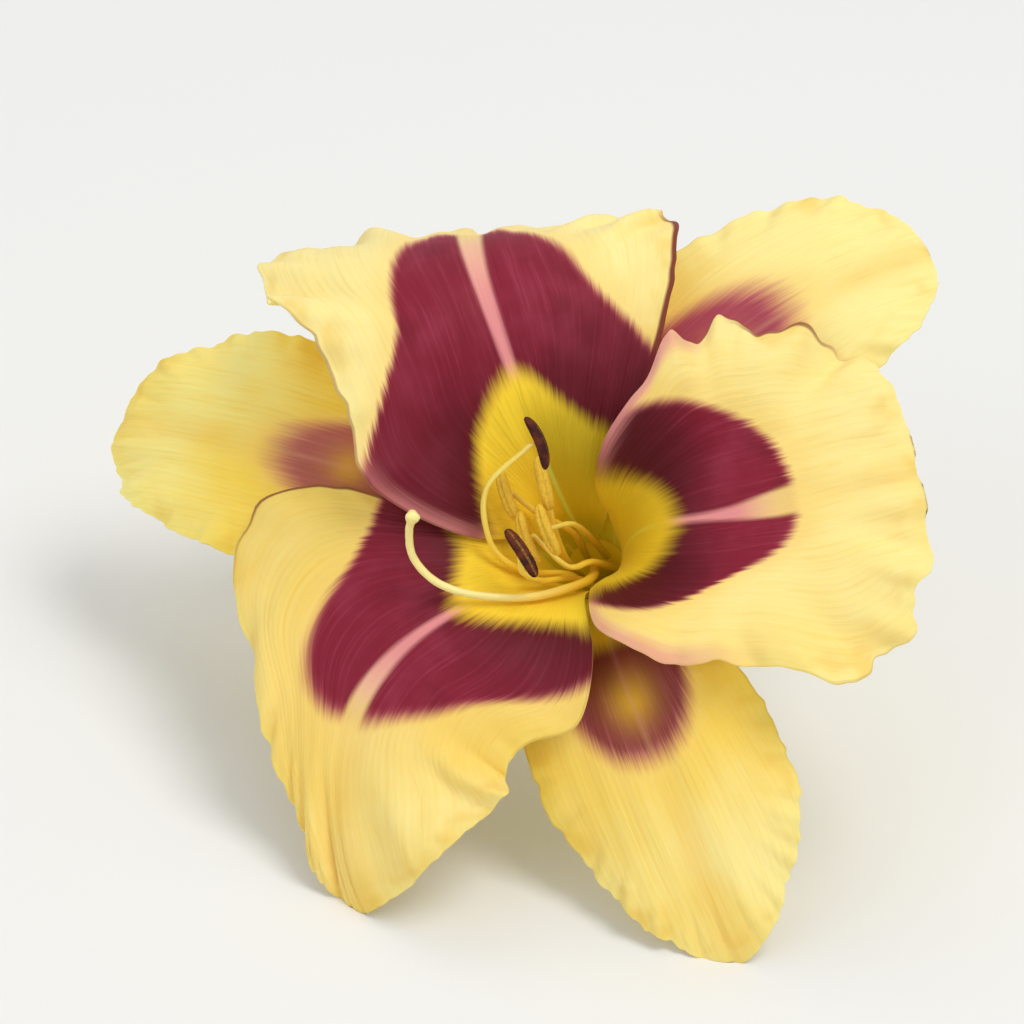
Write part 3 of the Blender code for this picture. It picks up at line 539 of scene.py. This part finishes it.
def tepalSkin(name, look, length, veinCount):
    g = Graph(name + "_skin", Subsurface_Weight=0.25, Subsurface_Scale=0.0014, Specular_IOR_Level=0.2,
              Subsurface_Radius=(1, 0.6, 0.25), Sheen_Weight=0.03, Sheen_Roughness=0.4,
              Emission_Strength=paintedGlowStrength)
    tone = tonesOf(look)
    along, across, rim, fan, front, groove = map(g.fact, ("along", "across", "rim", "fan", "front", "groove"))
    side = abs(across)
    ccw = g.step(-1, 1, across)
    seed, eyeStart, eyeEnd = look["seed"], look["eyeStart"], look["eyeEnd"]
    facing = g.step(0.35, 0.75, front)

    def bySide(key):
        clockwise, other = look[key]
        return ccw * (other - clockwise) + clockwise

    # fine streaks that follow the veins, and soft clouds over the blade
    streak = g.clouds(fan * 40, along * 0.06, seed, detail=3, rough=0.6)
    fineStreak = g.clouds(fan * 110, along * 0.14, seed + 9)
    cloud = g.clouds(across * 0.07, along * 0.06, seed)
    patch = g.clouds(across * 0.16, along * 0.16, seed + 4)

    # yellow ground: paler outwards, deeper near the root and along the midrib, with painted shade in patches
    # by the margin
    warm = cloud * look["cloud"] * 2 + streak * 0.45 + look["warmth"]
    warm = warm + g.step(length * 0.85, length * 0.35, along) * look["warmRoot"]
    ground = g.mix(g.step(0, 1, warm), tone.pale, tone.mid)
    # painted shade: the deep tone laid in patches near the margin, where its ruffles would lie in shade
    marginShade = g.step(6, 0.5, rim) * g.step(-0.02, 0.18, patch)
    ground = g.mix(marginShade * 0.4, ground, tone.deep)
    ground = g.mix(groove * g.step(eyeEnd, eyeEnd + 10, along) * 0.3, ground, tone.deep)
    ground = g.mix(g.step(0.06, 0.22, fineStreak + streak * 0.5) * 0.16, ground, tone.deep)

    # the eye, feathered along the veins, darker towards the throat partly by painted shade, with a golden
    # hole in a sepal's
    feather = (streak * 1.4 + fineStreak) * look["feather"]
    reach = (along + feather - eyeStart) / (eyeEnd - eyeStart)
    half = bySide("eyeHalf") * (g.step(0.6, 0, reach) * bySide("eyeFlare") + 1)
    power = bySide("eyeRound")
    out = g.math("MAXIMUM", reach, 0) ** power + (abs(side + streak * 0.8) / half) ** power
    soft = look["eyeSoft"]
    eye = g.step(1.01 + soft, 1.01 - soft, out) * look["eyeStrength"]
    ground = g.mix(g.step(1.9, 1, out) * 0.4, ground, tone.halo)
    eyeTone = g.mix(g.step(-0.04, 0.26, streak * 0.8 + fineStreak * 0.5) * 0.5, tone.eye, tone.eyeLight)
    eyeTone = g.mix(g.step(-0.05, 0.25, patch + cloud * 0.6) * 0.35, eyeTone, tone.eyeLight)
    eyeTone = g.mix(g.step(0, 0.25, cloud - patch * 0.6) * 0.3, eyeTone, tone.eyeDark)
    # partly the eye's own deeper red and partly painted shade: it darkens towards the throat
    eyeTone = g.mix(g.step(0.55, -0.05, reach) * 0.9, eyeTone, tone.eyeDark)
    eyeTone = g.mix(g.step(0.94 - soft, 1, out) * 0.45, eyeTone, tone.eyeRim)
    skin = g.mix(eye, ground, eyeTone)
    if look["eyeHole"]:
        middle = eyeStart + (eyeEnd - eyeStart) * look["holeAt"]
        away = ((along - middle) / look["holeSize"] * 0.75) ** 2 + (across / look["holeSize"]) ** 2
        hole = g.math("EXPONENT", away * -1) * look["eyeHole"]
        skin = g.mix(hole * eye, skin, tone.deep)

    # a pink blush along the curled margins by the throat
    start, end = look["blushReach"]
    blush = g.step(3, 0.4, rim + streak * 2) * bySide("blushStrength")
    blush = blush * g.step(start, start + 5, along) * g.step(end, end - 9, along)
    skin = g.mix(blush, skin, tone.blush)

    # the midrib's stripe through the eye, pink and then cream at its outer end
    stripeHalf = g.step(eyeStart, eyeEnd, along) ** 1.6 * look["stripeGrowth"] + look["stripe"]
    stripe = g.step(0.45, -0.5, side - stripeHalf + streak * 0.6) * look["stripeStrength"]
    outer = g.step(eyeEnd - look["stripeFade"], eyeEnd, along)
    stripeTone = g.mix(outer, g.mix(g.step(0.5, 1, reach), tone.pink, tone.cream), ground)
    skin = g.mix(stripe, skin, stripeTone)

    # the gold of the throat, its star along the midrib, and the olive and green deep inside
    star = g.math("EXPONENT", (across / bySide("goldPeakWidth")) ** 2 * -1) * look["goldPeak"]
    goldEdge = star + look["goldEnd"] - along + streak * 3 + fineStreak * 1.6
    gold = g.mix(g.step(look["oliveEnd"] + 3, look["oliveEnd"] - 6, along), tone.gold, tone.olive)
    # partly the petal's own olive and partly painted shade: the clockwise side of the throat darkens from
    # gold to olive
    if look["oliveAndShadeSide"]:
        shade = g.step(2.2, -0.8, across) * g.step(30, 22, along) * look["oliveAndShadeSide"]
        gold = g.mix(shade, gold, tone.olive)
    gold = g.mix(g.step(look["greenEnd"], look["greenEnd"] - 8, along) * 0.8, gold, tone.green)
    gold = g.mix(g.step(0.02, 0.2, streak + fineStreak * 0.5) * 0.35, gold, tone.olive)
    skin = g.mix(g.step(-1.8, 2.4, goldEdge), skin, gold)
    line = g.step(0.42, 0.12, side) * g.step(look["lineEnd"], look["lineEnd"] - 6, along)
    skin = g.mix(line * look["lineStrength"], skin, tone.line)

    # the back: paler, green at its base and along its keel, with the eye just showing through
    behind = g.mix(g.step(30, 6, along), tone.back, tone.backGreen)
    behind = g.mix(g.step(1.1, 0.2, side) * g.step(58, 30, along) * 0.5, behind, tone.backGreen)
    behind = g.mix(eye * 0.22, behind, tone.eyeLight)
    behind = g.mix(g.step(0, 0.25, fineStreak) * 0.25, behind, tone.mid)
    skin = g.mix(facing, behind, skin)

    # a thin dark maroon line along the very edge: partly the tepal's own wire edge, partly painted shade
    # where a margin lies over its neighbour
    width = bySide("wireAndShadeWidth")
    wire = g.step(1, 0.45, (rim + streak * 0.2) / width) * bySide("wireAndShadeStrength")
    start, end = look["wireAndShadeReach"]
    wire = wire * g.step(start, start + 6, along) * g.step(end, end - 8, along)
    skin = g.mix(wire, skin, tone.wire)

    # painted light: an emission makes the throat glow, standing in for daylight through its thin walls
    inside = g.step(19, 7, along) * facing
    g.feed("Emission Color", g.mix(inside, (0, 0, 0), tone.glow))

    cells = g.grain(5200, detail=1)
    g.feed("Roughness", 0.55 + fineStreak * 0.12 + cells * 0.12 - eye * 0.04)
    veins = g.math("SINE", fan * veinCount) * g.step(0, 4, rim)
    return g.finish(skin, veins * 0.22 + fineStreak * 0.9 + cells * 0.35, 0.5, 0.00012)


for name, tepal in tepals.items():
    makeTepal(name, tepal, tepalSkin(name, looks[name], tepal["length"], tepal["veins"]))
print("petals and sepals made")


# Strands: a round or slightly flat rod along a path, worked out ring by ring

def smoothPath(points, count):
    places, s = np.linspace(0, 1, len(points)), np.linspace(0, 1, count)
    return np.stack([through(list(zip(places, part)), s) for part in zip(*points)], -1)


def strandRings(path, radii, around, ripples, seed, flatness=1):
    # rings square to the path, carried along it without twisting
    heading = unit(np.gradient(path, axis=0))
    side = unit(np.cross(heading[0], [0.3, 1.0, 0.2]))
    turn = roundTurns(around)
    rings = []
    for i, place in enumerate(path):
        side = unit(side - side @ heading[i] * heading[i])
        other = np.cross(heading[i], side)
        radius = radii[i] * (1 + ripples * softNoise(turn * 1.3 + 9, i * 0.35, seed))
        rings.append(place + side * (np.cos(turn) * radius)[:, None]
                     + other * (np.sin(turn) * radius * flatness)[:, None])
    return np.array(rings)


def makeStrand(name, rings, material, replaced, facts):
    count, around = rings.shape[:2]
    points = np.vstack([rings.reshape(-1, 3), rings[0].mean(0), rings[-1].mean(0)])
    written = {}
    for key, values in facts.items():
        values = np.broadcast_to(values, (count, around))
        written[key] = np.append(values, [values[0].mean(), values[-1].mean()])
    addPiece(name, points, loftFaces(count, around), material, replaced, written)


# Stamens: the angle of each filament's root round the mouth, the places that it passes, the way that its
# anther points, and how far that is gilt with pollen

filament = {"root": (2.45, -2), "radius": 0.5, "taper": 0.6, "fullness": 1.12, "flatness": 0.86,
            "ripples": 0.1, "count": 70, "around": 14, "point": [(0.45, 0.7), (0.85, 0.5)],
            "gold": (250, 206, 52), "pale": (252, 224, 112), "tip": (246, 208, 112), "green": (214, 196, 40)}
anther = {"length": 7, "width": 1.7, "flatness": 0.84, "bow": 0.05, "seat": 0.3, "seatSteps": 13,
          "rings": 64, "around": 40, "ending": 0.999, "bluntness": (3.2, 2.4),
          "groove": 0.34, "seamWidth": 0.045, "unevenness": 0.035,
          "dark": (58, 18, 12), "brown": (104, 42, 20), "pollen": (224, 172, 48), "gilt": (240, 198, 62)}
stamens = [
    {"root": 238, "path": [(-2.1, -2.5, 6), (-5.4, -4.6, 15), (-8.4, -2.6, 20), (-8, 3, 25), (-2, 7.6, 27.5)],
     "anther": (-0.3, 0.85, 0.4), "gilded": 0.1},
    {"root": 190, "path": [(-2, -1, 8), (-2, 1, 14), (-1.8, 3.6, 19), (-1.8, 4.9, 21)],
     "anther": (-0.15, 0.85, 0.5), "gilded": 0.9},
    {"root": 280, "path": [(-0.8, -3.6, 8), (-3, -6, 15), (-4.2, -6.4, 20), (-3.8, -5.2, 23.5)],
     "anther": (-0.5, 0.8, 0.3), "gilded": 0.15},
    {"root": 130, "path": [(-1.2, 2.4, 8), (-4.4, 3.2, 15), (-6.2, 4.2, 19.5)],
     "anther": (-0.25, 0.85, 0.5), "gilded": 0.95},
    {"root": 70, "path": [(0.6, 2.2, 8), (0.2, 1.6, 14), (-1, -0.6, 19.5)],
     "anther": (-0.3, 0.85, 0.5), "gilded": 0.98},
    {"root": 10, "path": [(1.6, -1.6, 8), (-0.4, -3.6, 13), (-3.6, -1, 18)],
     "anther": (-0.3, 0.85, 0.4), "gilded": 0.95},
]


def filamentPath(stamen, count):
    radius, height = filament["root"]
    turn = math.radians(stamen["root"])
    root = (math.cos(turn) * radius, math.sin(turn) * radius, height)
    return smoothPath([root, *stamen["path"]], count)


def filamentSkin():
    g = Graph("filament_skin", Subsurface_Weight=0.3, Subsurface_Scale=0.001,
              Subsurface_Radius=(1, 0.7, 0.2), Roughness=0.42)
    tone = tonesOf(filament)
    share = g.fact("share")
    grain = g.grain(900)
    skin = g.mix(g.step(0, 0.35, share), tone.green, tone.gold)
    skin = g.mix(g.step(0.4, 0.85, share) * 0.7, skin, tone.pale)
    skin = g.mix(g.step(0.9, 1, share) * 0.6, skin, tone.tip)
    skin = g.mix(grain * 0.2, skin, tone.pale)
    return g.finish(skin, grain, 0.3, 0.0001)


def antherSkin():
    g = Graph("anther_skin", Specular_IOR_Level=0.3)
    tone = tonesOf(anther)
    seam, gilded = g.fact("seam"), g.fact("gilded")
    grain = g.grain(2600, detail=3, rough=0.7)
    patch = g.grain(700)
    skin = g.mix(g.step(0.4, 0.65, patch), tone.dark, tone.brown)
    dust = g.step(0.3, 1, seam) * g.step(0.3, 0.65, grain)
    skin = g.mix(dust * 0.4, skin, tone.pollen)
    gilt = g.mix(g.step(0.3, 0.7, grain), tone.pollen, tone.gilt)
    skin = g.mix(g.step(0.9, 1.1, gilded + patch * 0.5), skin, gilt)
    g.feed("Roughness", 0.62 + grain * 0.3)
    return g.finish(skin, grain, 0.8, 0.00015)


def seatOf(path, stamen):
    # the way that an anther lies on its filament's tip, and the way out from the tip to it
    along = unit(np.array(stamen["anther"], float))
    heading = unit(path[-1] - path[-2])
    return along, unit(heading - heading @ along * along)


def makeAnther(number, stamen, material):
    # two sacs side by side with a seam between them, seated across the filament's tip by the middle
    path = filamentPath(stamen, anther["seatSteps"])
    along, outward = seatOf(path, stamen)
    beside = np.cross(along, outward)
    gap = anther["seat"] + anther["width"] / 2 + filament["radius"] * filament["taper"]
    centre = path[-1] + outward * gap
    t = np.linspace(-1, 1, anther["rings"]) * anther["ending"]
    grid, around = np.meshgrid(t, roundTurns(anther["around"]), indexing="ij")
    lengthwise, crosswise = anther["bluntness"]
    size = (1 - np.abs(grid) ** lengthwise) ** (1 / crosswise)
    seam = np.exp(-((np.abs(np.cos(around)) - 1) / anther["seamWidth"]) ** 2)
    rough = softNoise(grid * 30 + 40, around * 3.2, number) * anther["unevenness"]
    radius = size * (1 - anther["groove"] * seam * ease(0, 0.5, size) + rough)
    z = grid * anther["length"] / 2
    y = np.sin(around) * radius * anther["width"] / 2
    x = np.cos(around) * radius * anther["width"] * anther["flatness"] / 2 - anther["bow"] * z ** 2
    points = centre + x[..., None] * outward + y[..., None] * beside + z[..., None] * along
    name = f"anther_{number}"
    facts = {"seam": seam, "gilded": stamen["gilded"]}
    makeStrand(name + "_sacs", points, material, [name], facts)


def makeFilament(number, stamen, material):
    # the thread, and a short point that turns into the anther
    path = filamentPath(stamen, filament["count"])
    outward = seatOf(path, stamen)[1]
    reaches, thinner = zip(*filament["point"])
    share = np.append(np.linspace(0, 1, len(path)), np.ones(len(reaches)))
    radii = filament["radius"] * filament["fullness"] * (1 - (1 - filament["taper"]) * share)
    radii = radii * np.append(np.ones(len(path)), thinner)
    path = np.vstack([path] + [path[-1] + outward * reach for reach in reaches])
    rings = strandRings(path, radii, filament["around"], filament["ripples"], number, filament["flatness"])
    name = f"filament_{number}"
    makeStrand(name + "_thread", rings, material, [name], {"share": share[:, None]})


filamentMaterial, antherMaterial = filamentSkin(), antherSkin()
for number, stamen in enumerate(stamens, 1):
    makeFilament(number, stamen, filamentMaterial)
    makeAnther(number, stamen, antherMaterial)
print("stamens made")


# Pistil: the ovary at the bottom of the tube and the long style with its small stigma

pistil = {"styleRadius": 0.6, "stigmaRadius": 0.85, "ovaryRadius": 1.35, "ovaryLength": 7,
          "tubeLength": 21, "tubeFloor": 1.6, "gap": 0.3, "around": 20, "ovaryRings": 24,
          "styleRings": 150, "ribs": 0.07, "stigmaLobes": 0.16, "lobesReach": (1.6, 0.4), "ripples": 0.05,
          "thinning": 0.18, "thinningReach": (6, 30), "stigmaReach": (2.2, 0.7),
          "tipShare": 0.35, "tipReach": (-0.05, 0.45),
          "ovary": [(0, 0.52), (0.12, 0.85), (0.5, 1), (0.85, 0.7), (1, 0.41)],
          "style": [(0, 0, -10), (0, 0, 0), (1.2, -2.8, 6), (1.1, -5.9, 12.6), (-3.6, -9.2, 18.7),
                    (-9.4, -10, 23), (-13.6, -9, 25.5), (-16, -6.6, 28), (-15.9, -4.2, 31),
                    (-14.6, -2.6, 34)],
          "cream": (252, 232, 150), "gold": (236, 192, 50), "tip": (250, 240, 190), "green": (150, 168, 50)}


def pistilSkin():
    g = Graph("pistil_skin", Subsurface_Weight=0.35, Subsurface_Scale=0.001,
              Subsurface_Radius=(1, 0.75, 0.3), Roughness=0.4)
    tone = tonesOf(pistil)
    reach = g.fact("reach")
    grain = g.grain(1100)
    skin = g.mix(g.step(-6, 4, reach), tone.green, tone.gold)
    skin = g.mix(g.step(12, 34, reach), skin, tone.cream)
    skin = g.mix(g.step(56, 60, reach), skin, tone.tip)
    return g.finish(skin, grain, 0.35, 0.0001)


def makePistil():
    foot = -pistil["tubeLength"] + pistil["tubeFloor"] + pistil["gap"]
    share = np.linspace(0, 1, pistil["ovaryRings"])
    ovary = np.stack([0 * share, 0 * share, foot + pistil["ovaryLength"] * share], -1)
    ovaryRadii = through(pistil["ovary"], share) * pistil["ovaryRadius"]
    style = smoothPath(pistil["style"], pistil["styleRings"])
    steps = np.linalg.norm(np.diff(style, axis=0), axis=1)
    reach = np.append(0, np.cumsum(steps)) + style[0, 2]
    fromTip = reach[-1] - reach
    styleRadii = pistil["styleRadius"] * (1 - pistil["thinning"] * ease(*pistil["thinningReach"], reach))
    swelling = ease(*pistil["stigmaReach"], fromTip)
    styleRadii = styleRadii + (pistil["stigmaRadius"] - styleRadii) * swelling
    tip = pistil["tipShare"]
    styleRadii = styleRadii * (tip + (1 - tip) * ease(*pistil["tipReach"], fromTip))
    path = np.vstack([ovary, style])
    lobes = pistil["stigmaLobes"] * ease(*pistil["lobesReach"], fromTip)
    lobes = np.append(np.full(len(share), pistil["ribs"]), lobes)[:, None]
    radii = np.append(ovaryRadii, styleRadii)[:, None]
    radii = radii * (1 + np.cos(3 * roundTurns(pistil["around"])) * lobes)
    rings = strandRings(path, radii, pistil["around"], pistil["ripples"], seed=12)
    reach = np.append(ovary[:, 2], reach)[:, None]
    makeStrand("pistil_style", rings, pistilSkin(), ["pistil"], {"reach": reach})


makePistil()
print("pistil made")


# Tube and stalk: the tube's outer radius at shares of its depth, the stalk's sweep off the axis, its
# ribs as (height, count, phase), and the rings of its cut face as (share of the radius, height)

tube = {"length": 21, "drop": 0.5, "wall": 1.1, "floor": 1.6, "bore": 1.7, "around": 144, "rings": 90,
        "profile": [(0, 4.55), (0.2, 4.1), (0.5, 3.5), (0.75, 3.2), (0.92, 3), (1, 2.2)],
        "footRadius": 0.8, "ribs": 0.045, "ribCount": 6, "ribTurn": 52,
        "lipRise": 2.6, "lipWave": 0.25, "lipFlare": 0.28, "lipStep": 0.091, "lipTuck": 0.16,
        "lipThick": 0.32, "lipRound": 0.08, "lipRings": 8,
        "throatDepth": 1.5, "throatStep": 0.7, "throatRings": 10, "boreRings": 24,
        "yellow": (200, 192, 76), "green": (138, 156, 40), "deep": (96, 128, 34),
        "throat": (222, 190, 44), "glow": (168, 138, 10), "paintedGlowReach": (14, 2)}
stalk = {"length": 13, "radius": 1.9, "taper": 0.08, "sweep": (-7.5, 2), "gap": 0.5, "rise": 0.45,
         "around": 48, "rings": 60, "collar": 0.14, "ribs": [(0.018, 9, 0), (0.012, 13, 1)], "ripples": 0.03,
         "cut": [(0.93, 0.03), (0.75, -0.06), (0.4, -0.12), (0.12, -0.1)],
         "green": (86, 122, 38), "light": (128, 158, 66), "dark": (58, 92, 28), "pith": (206, 214, 150)}


def tubeSkin():
    g = Graph("tube_skin", Subsurface_Weight=0.2, Subsurface_Scale=0.0015, Emission_Strength=paintedGlowStrength)
    tone = tonesOf(tube)
    depth, turn, inside = g.fact("depth"), g.fact("turn"), g.step(0.4, 0.6, g.fact("inside"))
    streak = g.clouds(turn * 9, depth * 0.12, 2, detail=3)
    skin = g.mix(g.step(0, 11, depth + streak * 3), tone.yellow, tone.green)
    skin = g.mix(g.step(13, 21, depth + streak * 4), skin, tone.deep)
    skin = g.mix(g.step(0.52, 0.7, streak + 0.5) * 0.3, skin, tone.yellow)
    skin = g.mix(inside, skin, tone.throat)
    # painted light: the tube's inside glows with an emission, most near its lip
    glow = inside * g.step(*tube["paintedGlowReach"], depth)
    g.feed("Emission Color", g.mix(glow, (0, 0, 0), tone.glow))
    grain = g.grain(1500)
    g.feed("Roughness", 0.4 + grain * 0.15)
    return g.finish(skin, streak * 0.8 + grain * 0.3, 0.4, 0.0001)


def makeTube():
    # a ribbed cup: up the outside to a thin lip round the tepals' roots, and down inside to its floor
    turn = roundTurns(tube["around"])
    lobes = np.cos(tube["ribCount"] * (turn - math.radians(tube["ribTurn"])))
    lip = tube["lipRise"] * (1 - tube["lipWave"] * (1 - lobes))
    top, inner, span = tube["profile"][0][1], tube["throatDepth"], tube["length"] - tube["drop"]
    rings, depths, insides = [], [], []

    def addRing(radius, height, inside):
        height = np.broadcast_to(height, turn.shape)
        rings.append(np.stack([np.cos(turn) * radius, np.sin(turn) * radius, height], -1))
        depths.append(-height)
        insides.append([inside])

    addRing(tube["footRadius"], -tube["length"], 0)
    for share in np.linspace(1, 0, tube["rings"]):
        ribs = tube["ribs"] * lobes * (0.4 + 0.6 * share) * ease(1, 0.9, share)
        addRing(through(tube["profile"], share) * (1 + ribs), -tube["drop"] - share * span, 0)
    for share in np.linspace(0.15, 1, tube["lipRings"]):
        radius = top + tube["lipStep"] + tube["lipFlare"] * lip * share - tube["lipTuck"] * share ** 4
        addRing(radius, -tube["drop"] + (lip + tube["drop"]) * share, 0)
    for share in np.linspace(1, 0, tube["throatRings"]):
        radius = top + tube["lipFlare"] * lip * share - tube["lipThick"] - (1 - share) * tube["throatStep"]
        addRing(radius, -inner + (lip + inner - tube["lipRound"]) * share, 1)
    for share in np.linspace(0.1, 1, tube["boreRings"]):
        height = -inner - share * (tube["length"] - tube["floor"] - inner)
        outer = through(tube["profile"], (-height - tube["drop"]) / span)
        addRing(np.maximum(outer - tube["wall"], tube["bore"]), height, 1)
    facts = {"depth": np.array(depths), "turn": turn, "inside": np.array(insides)}
    makeStrand("tube_wall", np.array(rings), tubeSkin(), ["perianth_tube"], facts)


def stalkSkin():
    g = Graph("stalk_skin", Subsurface_Weight=0.12, Subsurface_Scale=0.0012)
    tone = tonesOf(stalk)
    share, turn, middle = g.fact("share"), g.fact("turn"), g.fact("middle")
    streak = g.clouds(turn * 6, share * 1.4, 5, detail=3)
    skin = g.mix(g.step(0.35, 0.65, streak + 0.5), tone.green, tone.light)
    skin = g.mix(g.step(0.6, 0.9, 0.5 - streak * 1.2) * 0.6, skin, tone.dark)
    skin = g.mix(g.step(0.25, 0, share) * 0.5, skin, srgb(*tube["green"]))
    grain = g.grain(2200)
    pith = g.mix(g.step(0.45, 0.6, grain) * 0.5, tone.pith, tone.light)
    skin = g.mix(g.step(0.05, 0.2, middle), skin, pith)
    g.feed("Roughness", 0.42 + grain * 0.15)
    return g.finish(skin, streak * 0.8 + grain * 0.4, 0.45, 0.00012)


def makeStalk():
    foot = -tube["length"] - stalk["gap"]
    top, bottom = foot + stalk["rise"], foot - stalk["length"]
    t = np.linspace(0, 1, stalk["rings"])
    sweep = stalk["sweep"]
    path = np.stack([sweep[0] * t ** 2, sweep[1] * t ** 2, top + (bottom - top) * t], -1)
    turn = roundTurns(stalk["around"])
    radii = stalk["radius"] * (1 - stalk["taper"] * t) * (1 + stalk["collar"] * ease(0.1, 0, t))
    ribs = sum(height * np.cos(count * turn + phase) for height, count, phase in stalk["ribs"])
    rings = strandRings(path, radii[:, None] * (1 + ribs), stalk["around"], stalk["ripples"], seed=21)
    last = rings[-1]
    centre = last.mean(0)
    heading = unit(path[-1] - path[-2])
    for share, sunk in stalk["cut"]:
        rings = np.concatenate([rings, (centre + (last - centre) * share + heading * sunk)[None]])
    shares = np.append(t, np.ones(len(stalk["cut"])))[:, None]
    middle = (np.arange(len(rings)) >= stalk["rings"])[:, None]
    facts = {"share": shares, "turn": turn, "middle": middle.astype(float)}
    makeStrand("stalk_rod", rings, stalkSkin(), ["flower_stalk"], facts)


makeTube()
makeStalk()
print("tube and stalk made")


# Floor, lights and camera

# Each light: its name, its way from the bloom (right, up and towards the camera), its distance and size
# in metres, its power and its colour
studio = {"floor": (238, 237, 233), "floorSize": 5.0, "world": (0.93, 0.96, 1.0), "worldStrength": 0.62,
          "lit": (0, 0, 0.035),
          "lights": [("key", (0.6, 0.9, 0.95), 1.3, 0.7, 7.1, (1, 0.975, 0.94)),
                     ("fill", (-0.55, 0.15, 1), 1.4, 1, 2.8, (0.95, 0.97, 1)),
                     ("top", (-0.1, 1, 0.1), 1.4, 1, 2, (1, 1, 1))]}


def makeFloor():
    side = studio["floorSize"]
    mesh = bpy.data.meshes.new("floor")
    corners = [(-side, -side, 0), (side, -side, 0), (side, side, 0), (-side, side, 0)]
    mesh.from_pydata(corners, [], [(0, 1, 2, 3)])
    g = Graph("floor_paint", Specular_IOR_Level=0.2, Roughness=0.75)
    tint = g.grain(3)
    light = srgb(*studio["floor"])
    g.feed("Base Color", g.mix(tint * 0.06, light, tuple(c * 0.9 for c in light)))
    mesh.materials.append(g.material)
    floor = addObject("floor", mesh)


# The view: its tilt off the flower's axis and the way that it leans round the axis, in degrees
view = {"tilt": 23, "lean": -50, "lens": 200, "sensor": 36, "frameWidth": 129, "aimX": 1}


def viewAxes():
    # right, up and towards the camera, in the flower's frame: the least turn from its own axes
    tilt, lean = math.radians(view["tilt"]), math.radians(view["lean"])
    toward = Vector((math.sin(tilt) * math.cos(lean), math.sin(tilt) * math.sin(lean), math.cos(tilt)))
    turn = Vector((0, 0, 1)).rotation_difference(toward).to_matrix()
    return [Vector(axis) for axis in (turnToWorld @ np.array(turn)).T]


def addLight(name, way, distance, size, power, colour):
    direction = sum((axis * share for axis, share in zip(viewAxes(), way)), Vector()).normalized()
    lamp = bpy.data.lights.new(name, "AREA")
    lamp.shape = "DISK"
    lamp.size = size
    lamp.energy = power
    lamp.color = colour
    thing = addObject(name, lamp)
    thing.location = Vector(studio["lit"]) + direction * distance
    thing.rotation_euler = direction.to_track_quat("Z", "Y").to_euler()


def makeStudio():
    makeFloor()
    world = bpy.data.worlds.new("sky")
    world.use_nodes = True
    sky = world.node_tree.nodes["Background"]
    sky.inputs["Color"].default_value = (*studio["world"], 1)
    sky.inputs["Strength"].default_value = studio["worldStrength"]
    scene = bpy.context.scene
    scene.world = world
    for light in studio["lights"]:
        addLight(*light)
    scene.view_settings.view_transform = "Standard"
    scene.view_settings.look = "None"


def makeCamera():
    axisX, axisY, axisZ = viewAxes()
    low, high = (Vector(corner) for corner in cadBox)
    aim = (low + high) / 2 + axisX * view["aimX"] * mm
    lens = bpy.data.cameras.new("view")
    lens.lens = view["lens"]
    lens.sensor_width = view["sensor"]
    lens.clip_start = 0.05
    camera = addObject("view", lens)
    distance = view["frameWidth"] * mm * view["lens"] / view["sensor"]
    camera.matrix_world = Matrix.Translation(aim + axisZ * distance) @ Matrix(
        (axisX, axisY, axisZ)).transposed().to_4x4()
    bpy.context.scene.camera = camera


makeStudio()
makeCamera()
print("studio made")
